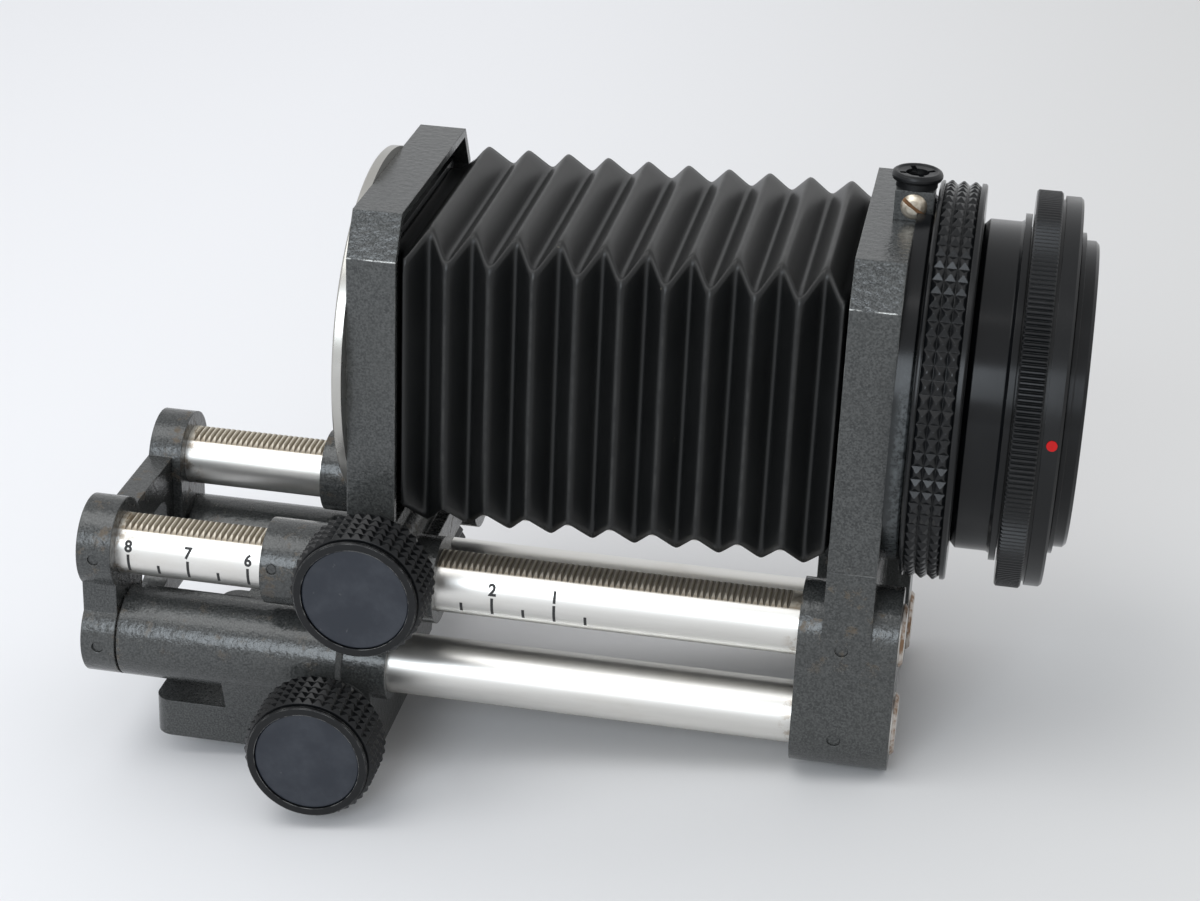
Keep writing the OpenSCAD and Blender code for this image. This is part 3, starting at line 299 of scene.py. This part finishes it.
satin = {
    "knobBlack": {"base": (0.0038, 0.0042, 0.0048), "roughness": 0.25, "specular": 0.32},
    "ringBlack": {"base": (0.0028, 0.0032, 0.0038), "roughness": 0.16, "specular": 0.36},
    "fine": (1800.0, 3.0, 0.6), "fineShare": 0.6, "fineRough": 0.08,
    "cloud": (120.0, 3.0, 0.6, 0.35, 0.7), "cloudShare": 0.3, "cloudRough": 0.06,
    "paler": 1.5, "lift": 0.002,     # the second tone, from the base
    "edge": (0.16, 0.12, 0.36), "edgeWear": 0.5, "edgeShares": (0.07, 0.25),
    "bare": (0.20, 0.20, 0.195), "metallic": 0.12, "bareMetal": 0.3, "bump": (0.05, 0.06, 0.12),
    "splitZ": 25.5, "lowerY": -40.4, "upperY": -37.8,     # the drive knobs' front rims
    "rim": (0.2, 0.03, 0.10), "scratch": (480.0, 4.0, 0.65, 0.42, 0.58),
    "scratchTone": (0.34, 0.34, 0.33), "scratchShare": 0.6,
}


def satinBlack(name, rubbed=False):
    look, own = satin, satin[name]
    f = Finish(name, own["specular"])
    fine, cloud = f.noise(*look["fine"]), f.patches(*look["cloud"])
    tone = tuple(c * look["paler"] + look["lift"] for c in own["base"])
    cloudy = fine * look["fineShare"] + cloud * look["cloudShare"]
    colour = mixColour(cloudy, own["base"], tone)
    worn = f.edge(*look["edge"])
    patchy = look["edgeShares"][0] + f.wear(look["edgeWear"]) * look["edgeShares"][1]
    colour = mixColour(worn * patchy, colour, look["bare"])
    if rubbed:
        lowerFront = look["lowerY"] * mm
        shift = (look["upperY"] - look["lowerY"]) * mm
        front = lowerFront + (f.z > look["splitZ"] * mm) * shift
        scratch = f.edge(*look["rim"]) * (f.y < front) * f.patches(*look["scratch"])
        colour = mixColour(scratch * look["scratchShare"], colour, look["scratchTone"])
    f.put(baseColor=colour,
          roughness=own["roughness"] + fine * look["fineRough"] + cloud * look["cloudRough"],
          metallic=look["metallic"] + worn * look["bareMetal"],
          normal=f.bump(fine, *look["bump"]))
    return f.material


discs = {
    "tones": ((0.0115, 0.0155, 0.024), (0.029, 0.034, 0.044)),
    "smudge": (150.0, 4.0, 0.62, 0.35, 0.72), "fine": (2400.0, 2.0, 0.5),
    "speck": (900.0, 2.0, 0.5, 0.72, 0.78), "speckTone": (0.11, 0.11, 0.11), "speckShare": 0.35,
    "roughness": 0.36, "smudgeRough": 0.12, "fineRough": 0.05, "metallic": 0.1,
    "bump": (0.05, 0.06, 0.2),
}


def discSatin():
    f = Finish("blueBlackDisc")
    smudge, fine = f.patches(*discs["smudge"]), f.noise(*discs["fine"])
    colour = mixColour(smudge, *discs["tones"])
    speck = f.patches(*discs["speck"]) * discs["speckShare"]
    f.put(baseColor=mixColour(speck, colour, discs["speckTone"]),
          roughness=discs["roughness"] + smudge * discs["smudgeRough"] + fine * discs["fineRough"],
          metallic=discs["metallic"], normal=f.bump(fine, *discs["bump"]))
    return f.material


barrel = {
    "grain": (40.0, 3.0, 0.6, (60.0, 1.0, 1.0)), "grooves": 9.0, "grooveShare": 0.15,
    "grainShare": 0.8,
    "haze": (60.0, 3.0, 0.6, 0.35, 0.7),
    "tones": ((0.0030, 0.0034, 0.0042), (0.0058, 0.0064, 0.0074)),
    "edge": (0.2, 0.08, 0.3), "edgeWear": 0.55, "edgeShares": (0.2, 0.6),
    "bare": (0.20, 0.20, 0.195), "bareShare": 0.35,
    # the flange's near side, below its top, is painted lighter as a painted sheen; the scuff is
    # mottled wear that also paints more sheen
    "flangeX": 100.2, "flangeY": -12.0, "flangeTop": (4.0, 16.0),     # top from the axis
    "flangeSheenTone": (0.030, 0.033, 0.034), "flangeSheenShare": 0.6,
    "scuffAndSheenX": (97.6, 99.0), "scuffAndSheen": (1100.0, 4.0, 0.7, 0.30, 0.72),
    "scuffAndSheenTone": (0.15, 0.165, 0.17), "scuffAndSheenShare": 0.6,
    "roughness": 0.15, "hazeRough": 0.06, "grainRough": 0.05, "scuffAndSheenRough": 0.3,
    "specular": 0.3, "metallic": 0.12, "bareMetal": 0.4, "bump": (0.03, 0.06, 0.2),
}


def turnedBlack():
    look = barrel
    f = Finish("turnedBlack", look["specular"])
    rise = f.z - axisZ * mm
    radial = (f.y * f.y + rise * rise).root()
    grooves = (radial * (look["grooves"] / mm)).fraction() * look["grooveShare"]
    grain = (f.noise(*look["grain"]) + grooves) * look["grainShare"]
    haze = f.patches(*look["haze"])
    patchy = look["edgeShares"][0] + f.wear(look["edgeWear"]) * look["edgeShares"][1]
    worn = f.edge(*look["edge"]) * patchy
    colour = mixColour(haze, *look["tones"])
    colour = mixColour(worn * look["bareShare"], colour, look["bare"])
    # the near side of the flange painted lighter, a painted sheen, then mottled scuffs that are
    # partly wear and partly painted sheen
    flange = (f.x < look["flangeX"] * mm) * (f.y < look["flangeY"] * mm)
    flange = flange * (1.0 - rise.step(*look["flangeTop"]))
    scuffAndSheen = flange * f.x.step(*look["scuffAndSheenX"]) * f.patches(*look["scuffAndSheen"])
    colour = mixColour(flange * look["flangeSheenShare"], colour, look["flangeSheenTone"])
    colour = mixColour(scuffAndSheen * look["scuffAndSheenShare"], colour, look["scuffAndSheenTone"])
    roughness = look["roughness"] + haze * look["hazeRough"] + grain * look["grainRough"]
    f.put(baseColor=colour, roughness=roughness + scuffAndSheen * look["scuffAndSheenRough"],
          metallic=look["metallic"] + worn * look["bareMetal"],
          normal=f.bump(grain, *look["bump"]))
    return f.material


metals = {
    "mountChrome": {"colour": (0.50, 0.49, 0.46), "roughness": 0.24, "rust": 0.0},
    "screwSteel": {"colour": (0.74, 0.72, 0.68), "roughness": 0.26, "rust": 0.75},
    "shaftSteel": {"colour": (0.58, 0.58, 0.57), "roughness": 0.3, "rust": 0.0},
    "bushBrass": {"colour": (0.66, 0.47, 0.2), "roughness": 0.3, "rust": 0.15},
    "haze": (240.0, 3.0, 0.6), "darker": 0.84, "hazeRough": 0.08,
    "spot": (700.0, 4.0, 0.7, 0.56, 0.66), "rustTone": (0.24, 0.13, 0.06),
    "rustRough": 0.4, "rustDull": 0.7, "bump": (0.04, 0.1, 0.15),
}


def polished(name):
    look, own = metals, metals[name]
    f = Finish(name)
    haze = f.noise(*look["haze"])
    tone = mixColour(haze, own["colour"], tuple(c * look["darker"] for c in own["colour"]))
    spot = f.patches(*look["spot"]) * own["rust"]
    roughness = own["roughness"] + haze * look["hazeRough"] + spot * look["rustRough"]
    f.put(baseColor=mixColour(spot, tone, look["rustTone"]), roughness=roughness,
          metallic=1.0 - spot * look["rustDull"], normal=f.bump(haze, *look["bump"]))
    return f.material


domedScrew = {
    "centre": (96.875, 99.2), "turn": (0.574, 0.819),     # the slot's middle, and its normal
    "slotHalf": 0.30, "slotY": -3.66,
    "haze": (420.0, 4.0, 0.65), "hazeRange": (0.35, 0.65),
    "tones": ((0.66, 0.61, 0.52), (0.42, 0.35, 0.26)),
    "grime": (900.0, 4.0, 0.7, 0.62, 0.72), "grimeShare": 0.6, "rust": (0.21, 0.105, 0.045),
    "roughness": 0.3, "hazeRough": 0.12, "grimeRough": 0.3,
    "metallic": 0.82, "grimeDull": 0.6, "bump": (0.06, 0.1, 0.2),
}


def oldScrew():     # domed head with rust in its slot
    look = domedScrew
    f = Finish("oldScrew")
    haze = f.noise(*look["haze"])
    (middleX, middleZ), (turnX, turnZ) = look["centre"], look["turn"]
    across = (f.x - middleX * mm) * turnX + (f.z - middleZ * mm) * turnZ
    slot = (abs(across) < look["slotHalf"] * mm) * (f.y > look["slotY"] * mm)
    grime = slot.high(f.patches(*look["grime"]) * look["grimeShare"])
    tone = mixColour(haze.between(*look["hazeRange"]), *look["tones"])
    roughness = look["roughness"] + haze * look["hazeRough"] + grime * look["grimeRough"]
    f.put(baseColor=mixColour(grime, tone, look["rust"]), roughness=roughness,
          metallic=look["metallic"] - grime * look["grimeDull"],
          normal=f.bump(haze, *look["bump"]))
    return f.material


paints = {
    "redEnamel": {"tones": ((0.40, 0.0005, 0.001), (0.48, 0.001, 0.002)), "noise": (900.0, 2.0),
                  "roughness": 0.10, "mottle": 0.05, "specular": 0.3},
    "scaleInk": {"tones": ((0.010, 0.010, 0.011), (0.03, 0.03, 0.03)), "noise": (1500.0, 3.0),
                 "roughness": 0.5, "mottle": 0.15, "specular": 0.5},
}


def plainPaint(name):
    own = paints[name]
    f = Finish(name, own["specular"])
    tone = f.noise(*own["noise"])
    f.put(baseColor=mixColour(tone, *own["tones"]),
          roughness=own["roughness"] + tone * own["mottle"])
    return f.material


leather = {
    "tones": ((0.0018, 0.0022, 0.0024), (0.0036, 0.0041, 0.0043)),
    "grain": (2600.0, 3.0, 0.6), "crease": (70.0, 3.0, 0.55, (2.4, 1.0, 1.0)),
    "creaseRange": (0.35, 0.7),
    "top": (19.5, 24.5), "litTopTone": (0.0105, 0.0104, 0.0098), "litTopShare": 0.8,     # from the axis; the top of the bellows is painted lighter, painted light from above
    # the fold crests are lighter in patches: rubbed wear, and also a painted highlight along the
    # folds
    "crestRange": (0.90, 0.99), "crestRubAndHighlight": (330.0, 4.0, 0.6, 0.36, 0.62),
    "crestRubAndHighlightTone": (0.045, 0.045, 0.042), "crestRubAndHighlightShare": 0.4,
    "speck": (620.0, 2.0, 0.5, 0.76, 0.80), "speckTone": (0.12, 0.11, 0.08), "speckShare": 0.4,
    "roughness": 0.34, "grainRough": 0.06, "creaseRough": 0.06, "specular": 0.42,
    "grainHeight": 0.3, "creaseHeight": 1.2, "bump": (0.16, 0.2, 0.2),
}


def clothBlack():
    look = leather
    f = Finish("bellowsCloth", look["specular"])
    crest = f.start.node("ShaderNodeAttribute", {"attribute_name": "foldCrest"}, out=2)
    grain, crease = f.noise(*look["grain"]), f.noise(*look["crease"])
    colour = mixColour(crease.between(*look["creaseRange"]), *look["tones"])
    # the top of the bellows painted lighter: painted light from above
    top = (f.z - axisZ * mm).step(*look["top"])
    colour = mixColour(top * look["litTopShare"], colour, look["litTopTone"])
    # lighter patches on the fold crests: rubbed wear and a painted highlight along the folds
    crestRubAndHighlight = crest.between(*look["crestRange"]) * f.patches(*look["crestRubAndHighlight"])
    colour = mixColour(crestRubAndHighlight * look["crestRubAndHighlightShare"], colour, look["crestRubAndHighlightTone"])
    speck = f.patches(*look["speck"])
    colour = mixColour(speck * look["speckShare"], colour, look["speckTone"])
    height = grain * look["grainHeight"] + crease * look["creaseHeight"]
    f.put(baseColor=colour,
          roughness=look["roughness"] + grain * look["grainRough"] + crease * look["creaseRough"],
          normal=f.bump(height, *look["bump"]))
    return f.material


print("finishes")
casting = hammertone()
rod = brightRod()
knobBlack = satinBlack("knobBlack", rubbed=True)
ringBlack = satinBlack("ringBlack")
disc = discSatin()
turned = turnedBlack()
chrome = polished("mountChrome")
screwSteel = polished("screwSteel")
shaftSteel = polished("shaftSteel")
brass = polished("bushBrass")
domeSteel = oldScrew()
red = plainPaint("redEnamel")
ink = plainPaint("scaleInk")
blackCloth = clothBlack()

dressing = {
    casting: ["tripod_block", "end_bracket", "camera_foot", "camera_frame", "lens_standard",
              "release_block", "end_bracket_pins", "camera_foot_pins", "carriage_plug"],
    rod: ["near_upper_rail", "far_upper_rail", "near_lower_rail", "far_lower_rail"],
    knobBlack: ["lower_drive_knob", "upper_drive_knob", "lower_lock_knob", "upper_lock_knob",
                "release_socket"],
    ringBlack: ["locking_ring", "breech_ring"],
    disc: ["lower_knob_cap", "upper_knob_cap", "lower_lock_cap", "upper_lock_cap"],
    turned: ["mount_flange", "adapter_body", "bayonet_nose", "bellows_camera_plate",
             "bellows_lens_plate"],
    chrome: ["lens_mount"],
    screwSteel: ["camera_frame_screws", "mount_flange_screws", "lens_mount_screws",
                 "lower_knob_screw", "upper_knob_screw", "release_spring", "release_plunger"],
    domeSteel: ["release_screw"],
    shaftSteel: ["lower_pinion_shaft", "upper_pinion_shaft"],
    brass: ["lower_shaft_bushes", "upper_shaft_bushes", "tripod_bush"],
    red: ["index_dot"],
}
for material, names in dressing.items():
    for name in names:
        data = nodes[name].data
        data.materials.clear()
        data.materials.append(material)


def growTree(name, inputs):
    tree = bpy.data.node_groups.new(name, "GeometryNodeTree")
    sockets = tree.interface
    for way in ("INPUT", "OUTPUT"):
        sockets.new_socket("Geometry", in_out=way, socket_type="NodeSocketGeometry")
    for label, value in inputs.items():
        made = sockets.new_socket(label, in_out="INPUT", socket_type="NodeSocketFloat")
        made.default_value = value
    w = Wire(tree)
    source = w.node("NodeGroupInput").socket.node
    size = {label: Wire(tree, source.outputs[label]) for label in inputs}
    return tree, w, size


def closeTree(w, shape, material):
    real = w.node("GeometryNodeRealizeInstances", None, {0: shape})
    dressed = w.node("GeometryNodeSetMaterial", None, {"Geometry": real, "Material": material})
    w.node("NodeGroupOutput", None, {0: dressed})


def unitGrid(w, alongX, alongY):     # a grid of side 1, and where its points are
    grid = w.node("GeometryNodeMeshGrid", None, {
        "Size X": 1.0, "Size Y": 1.0, "Vertices X": alongX, "Vertices Y": alongY})
    x, y, _ = w.node("GeometryNodeInputPosition").axes()
    return grid, x, y


def bake(name, tree, values, finishing):     # a tree's shape as an object of its own
    blank = addObject(name + "Seed", bpy.data.meshes.new(name + "Seed"))
    modifier = blank.modifiers.new("grow", "NODES")
    modifier.node_group = tree
    byName = {item.name: item.identifier for item in tree.interface.items_tree
              if item.item_type == "SOCKET" and item.in_out == "INPUT"}
    for label, value in values.items():
        modifier[byName[label]] = float(value)
    mesh = meshOf(blank)
    bpy.data.objects.remove(blank)
    edit(mesh, finishing)
    return addObject(name, mesh)


cloth = {
    "lensFace": 22.25, "cameraFace": 89.87, "intoLens": 1.8, "intoCamera": 1.0,
    "half": 24.82, "depth": 4.45, "lead": 4.15, "tail": 4.05, "ridges": 10,
    "endHalf": 20.3, "thickness": 0.6, "perSide": 14, "perFold": 18,
    "foldRange": (0.07, 0.93), "foldBlend": 0.2,      # how the ridges and valleys are rounded
    "startGap": 0.2, "endGap": 0.05,                  # where it leaves the two frames
    "corner": 0.35, "cornerRange": (0.86, 1.0), "crestFrom": 0.999, "join": 0.01,
    "cutGirth": 181.0, "cutLength": 106.0,     # the cloth before it is folded
}


def bellowsTree():
    tree, w, size = growTree("pleatedCloth", {
        "Start": cloth["lensFace"] * mm, "Length": (cloth["cameraFace"] - cloth["lensFace"]) * mm,
        "Into Lens": cloth["intoLens"] * mm, "Into Camera": cloth["intoCamera"] * mm,
        "Half": cloth["half"] * mm, "Depth": cloth["depth"] * mm,
        "Lead": cloth["lead"] * mm, "Tail": cloth["tail"] * mm, "Ridges": cloth["ridges"],
        "End Half": cloth["endHalf"] * mm, "Axis": axisZ * mm,
    })
    along = (cloth["ridges"] + 1) * cloth["perFold"] + 1
    around = 8 * cloth["perSide"] + 1
    grid, gridX, gridY = unitGrid(w, along, around)
    u, v = gridX + 0.5, gridY + 0.5
    whole = size["Length"] + size["Into Lens"] + size["Into Camera"]
    x = u * whole - size["Into Lens"]                                    # from the lens face
    pitch = (size["Length"] - size["Lead"] - size["Tail"]) / (size["Ridges"] - 1.0)
    phase = ((x - size["Lead"]) / pitch).high(-0.5).low(size["Ridges"] - 0.5)
    wave = abs(phase.fraction() * 2.0 - 1.0)                             # 1 on top ridges
    soft = wave.softCut(*cloth["foldRange"], cloth["foldBlend"])
    first = size["Lead"] - pitch * 0.5                                   # first side ridge
    last = size["Length"] - size["Tail"] + pitch * 0.5
    startGap, end = cloth["startGap"] * mm, size["Length"] - cloth["endGap"] * mm
    ease = ((x + startGap) / (first + startGap)).high(0.0).low(1.0)
    ease = ease * ((end - x) / (end - last)).high(0.0).low(1.0)
    tall = size["Half"] - size["Depth"] * (1.0 - soft)
    wide = size["Half"] - size["Depth"] * soft
    tall = size["End Half"] + (tall - size["End Half"]) * ease
    wide = size["End Half"] + (wide - size["End Half"]) * ease
    turnY = (abs(v.fraction() * 2.0 - 1.0) * 4.0 - 2.0).high(-1.0).low(1.0)
    turnZ = (abs((v + 0.25).fraction() * 2.0 - 1.0) * 4.0 - 2.0).high(-1.0).low(1.0)
    corner = (abs(turnY) * abs(turnZ)).between(*cloth["cornerRange"]) * (cloth["corner"] * mm)
    spot = w.node("ShaderNodeCombineXYZ", None, {
        0: x + size["Start"], 1: turnY * (wide - corner),
        2: turnZ * (tall - corner) + size["Axis"]})
    edgeTop = (abs(turnZ) > cloth["crestFrom"]) * wave
    edgeSide = (abs(turnY) > cloth["crestFrom"]) * (1.0 - wave)
    named = w.node("GeometryNodeStoreNamedAttribute", {"data_type": "FLOAT", "domain": "POINT"},
                   {"Geometry": grid, "Name": "foldCrest", "Value": edgeTop.high(edgeSide) * ease})
    moved = w.node("GeometryNodeSetPosition", None, {"Geometry": named, "Position": spot})
    closed = w.node("GeometryNodeMergeByDistance", None,
                    {"Geometry": moved, "Distance": cloth["join"] * mm})
    closeTree(w, closed, blackCloth)
    return tree


def faceOutward(work):     # the sleeve's outside out, before it is given a thickness
    outward = 0.0
    for face in work.faces:
        middle = face.calc_center_median()
        outward += face.normal.dot(Vector((0, middle.y, middle.z - axisZ * mm)))
    if outward < 0:
        bmesh.ops.reverse_faces(work, faces=work.faces[:])
    for face in work.faces:
        face.smooth = True


print("bellows")
bellowsSkin = bake("bellowsSkin", bellowsTree(), {}, faceOutward)
wall = bellowsSkin.modifiers.new("wall", "SOLIDIFY")
wall.thickness = cloth["thickness"] * mm
wall.offset = -1.0
walled = meshOf(bellowsSkin)
bellowsSkin.modifiers.clear()
bellowsSkin.data = walled
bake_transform(bellowsSkin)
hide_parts("bellows")


coil = {"travel": 1.2, "join": 0.001}     # the plunger's travel, and how near points are merged


def joinDoubles(work):
    bmesh.ops.remove_doubles(work, verts=work.verts[:], dist=coil["join"] * mm)


print("spring")
springMesh = nodes["release_spring"].data.copy()
edit(springMesh, joinDoubles)
closingSpring = addObject("closingSpring", springMesh)
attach(closingSpring, "rail_frame")
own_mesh(closingSpring)
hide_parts("release_spring")


scaleMarks = {
    "zeroX": 57.5, "step": 10.0, "count": 8, "lift": 0.012, "width": 0.46, "arcPoints": 9,
    "long": (84.5, 123.5), "short": (101.0, 123.0),     # degrees from the rod's top
    "digitTop": 57.0, "digitBottom": 80.5,              # also in degrees
    "digitNarrow": 0.95, "digitBold": 0.036, "digitCurve": 6, "digitCuts": 4, "digitCell": 0.12,
}
inkRadius = (rails["radius"] + scaleMarks["lift"]) * mm


def marksTree():
    tree, w, size = growTree("scaleMarks", {
        "First": 0.0, "Step": -scaleMarks["step"] * mm, "Count": scaleMarks["count"],
        "From": scaleMarks["long"][0], "To": scaleMarks["long"][1],
        "Width": scaleMarks["width"] * mm, "Radius": inkRadius,
        "Rail Y": -rails["halfSpan"] * mm, "Rail Z": rails["upperZ"] * mm,
    })
    count = w.node("FunctionNodeFloatToInt", None, {0: size["Count"]})
    offset = w.node("ShaderNodeCombineXYZ", None, {0: size["Step"]})
    first = w.node("ShaderNodeCombineXYZ", None, {0: size["First"]})
    row = w.node("GeometryNodeMeshLine", {"mode": "OFFSET"},
                 {"Count": count, "Start Location": first, "Offset": offset})
    strip, u, gridY = unitGrid(w, 2, scaleMarks["arcPoints"])
    v = gridY + 0.5
    angle = (size["To"] + (size["From"] - size["To"]) * v) * math.radians(1.0)
    spot = w.node("ShaderNodeCombineXYZ", None, {
        0: u * size["Width"],
        1: size["Rail Y"] - angle.sine() * size["Radius"],
        2: size["Rail Z"] + angle.cosine() * size["Radius"]})
    bent = w.node("GeometryNodeSetPosition", None, {"Geometry": strip, "Position": spot})
    marks = w.node("GeometryNodeInstanceOnPoints", None, {"Points": row, "Instance": bent})
    closeTree(w, marks, ink)
    return tree


def faceOffRail(work):     # marks and digits face away from the rod
    centre = Vector((0, -rails["halfSpan"] * mm, rails["upperZ"] * mm))
    for face in work.faces:
        away = face.calc_center_median() - centre
        away.x = 0
        if face.normal.dot(away) < 0:
            face.normal_flip()


def markRow(name, tree, firstX, fromTo):
    return bake(name, tree, {"First": firstX * mm, "From": fromTo[0], "To": fromTo[1]}, faceOffRail)


def digitMesh(k):
    curve = bpy.data.curves.new("digit", "FONT")
    curve.body = str(k)
    curve.align_x = "CENTER"
    curve.resolution_u = scaleMarks["digitCurve"]
    curve.offset = scaleMarks["digitBold"]
    holder = addObject("digit", curve)
    mesh = meshOf(holder)
    bpy.data.objects.remove(holder)
    return mesh


def wrapDigit(work, k):     # cut small, then wrapped on the rod
    for _ in range(scaleMarks["digitCuts"]):
        cut = [e for e in work.edges
               if abs(e.verts[0].co.y - e.verts[1].co.y) > scaleMarks["digitCell"]]
        bmesh.ops.subdivide_edges(work, edges=cut, cuts=1)
        bmesh.ops.triangulate(work, faces=work.faces[:])
    top, bottom = scaleMarks["digitTop"], scaleMarks["digitBottom"]
    tall = math.radians(bottom - top) * rails["radius"]
    least, most = min(v.co.y for v in work.verts), max(v.co.y for v in work.verts)
    for vert in work.verts:
        rise = (vert.co.y - least) / (most - least)
        angle = math.radians(bottom + rise * (top - bottom))
        across = vert.co.x * tall / (most - least) * scaleMarks["digitNarrow"]
        vert.co = Vector((
            (scaleMarks["zeroX"] - k * scaleMarks["step"] + across) * mm,
            -rails["halfSpan"] * mm - math.sin(angle) * inkRadius,
            rails["upperZ"] * mm + math.cos(angle) * inkRadius))


def scaleDigits():
    every = bmesh.new()
    for k in range(1, scaleMarks["count"] + 1):
        mesh = digitMesh(k)
        edit(mesh, lambda work: wrapDigit(work, k))
        every.from_mesh(mesh)
    whole = bpy.data.meshes.new("scaleDigits")
    every.to_mesh(whole)
    every.free()
    whole.materials.append(ink)
    edit(whole, faceOffRail)
    return addObject("scaleDigits", whole)


print("scale")
markTree = marksTree()
wholeX = scaleMarks["zeroX"] - scaleMarks["step"]
longMarks = markRow("scaleLongMarks", markTree, wholeX, scaleMarks["long"])
shortMarks = markRow("scaleShortMarks", markTree, wholeX + scaleMarks["step"] / 2,
                     scaleMarks["short"])
for piece in (longMarks, shortMarks, scaleDigits()):
    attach(piece, "rail_frame")


table = {
    "toeX": 17.8, "heelX": 101.65, "heelZ": 10.5, "half": 3.0,     # half its side, in metres
    # the table is painted paler on the left and darker towards the right: painted light and shade
    "paintedLitTone": (0.83, 0.835, 0.855), "paintedShadeTone": (0.65, 0.648, 0.64), "paintedShadeX": (-120.0, 260.0),
    "mottle": (3.0, 2.0, 0.5), "mottleShare": 0.08, "roughness": 0.85, "specular": 0.15,
}


def paper():
    f = Finish("palePaper", table["specular"])
    mottle = (f.noise(*table["mottle"]) - 0.5) * table["mottleShare"]
    # paler on the left, darker towards the right: painted light and shade on the table
    f.put(baseColor=mixColour(f.x.step(*table["paintedShadeX"]) + mottle, table["paintedLitTone"], table["paintedShadeTone"]),
          roughness=table["roughness"])
    return f.material


def layTable():     # through the toe of the foot plate and the heel of the camera foot
    slope = math.atan2(table["heelZ"], table["heelX"] - table["toeX"])
    half = table["half"]
    corners = []
    for sx, sy in ((-1, -1), (1, -1), (1, 1), (-1, 1)):
        corners.append((table["toeX"] * mm + sx * half * math.cos(slope), sy * half,
                        sx * half * math.sin(slope)))
    mesh = bpy.data.meshes.new("table")
    mesh.from_pydata(corners, [], [(0, 1, 2, 3)])
    mesh.materials.append(paper())
    return addObject("table", mesh)


print("stage")
tableTop = layTable()

lights = {     # in metres and watts
    "keyLight": {"place": (-0.38, -0.30, 1.15), "aim": (0.03, 0, 0.05), "size": (0.85, 0.6),
                 "watts": 3.8, "tint": (1, 1, 1)},
    "windowLight": {"place": (-0.15, -1.06, 0.54), "aim": (0.05, 0, 0.06), "size": (0.52, 0.48),
                    "watts": 4.6, "tint": (0.84, 0.92, 1.0)},
}
for name, own in lights.items():
    lamp = bpy.data.lights.new(name, "AREA")
    lamp.shape = "RECTANGLE"
    lamp.size, lamp.size_y = own["size"]
    lamp.energy = own["watts"]
    lamp.color = own["tint"]
    holder = addObject(name, lamp)
    holder.location = own["place"]
    towards = Vector(own["aim"]) - Vector(own["place"])
    holder.rotation_euler = towards.to_track_quat("-Z", "Y").to_euler()

studio = {"colour": (0.975, 0.985, 1.0, 1.0), "strength": 0.83}
world = bpy.data.worlds.new("studio")
world.use_nodes = True
sky = world.node_tree.nodes["Background"]
sky.inputs["Color"].default_value = studio["colour"]
sky.inputs["Strength"].default_value = studio["strength"]
bpy.context.scene.world = world

shot = {     # place and aim in mm, roll in degrees
    "place": (111.17, -374.11, 228.84), "aim": (50.13, 0.0, 51.61),
    "roll": 2.419, "lens": 77.478, "sensor": 36.0, "clip": (0.01, 20.0),
}
lensData = bpy.data.cameras.new("camera")
lensData.lens = shot["lens"]
lensData.sensor_width = shot["sensor"]
lensData.sensor_fit = "HORIZONTAL"
lensData.clip_start, lensData.clip_end = shot["clip"]
camera = addObject("camera", lensData)
place, aim = Vector(shot["place"]) * mm, Vector(shot["aim"]) * mm
forward = (aim - place).normalized()
right = forward.cross(Vector((0, 0, 1))).normalized()
up = right.cross(forward)
roll = math.radians(shot["roll"])
camRight = right * math.cos(roll) + up * math.sin(roll)
camUp = up * math.cos(roll) - right * math.sin(roll)
camera.matrix_world = Matrix((
    (camRight.x, camUp.x, -forward.x, place.x),
    (camRight.y, camUp.y, -forward.y, place.y),
    (camRight.z, camUp.z, -forward.z, place.z),
    (0, 0, 0, 1)))
bpy.context.scene.camera = camera
bpy.context.scene.view_settings.view_transform = "Standard"

print("done")
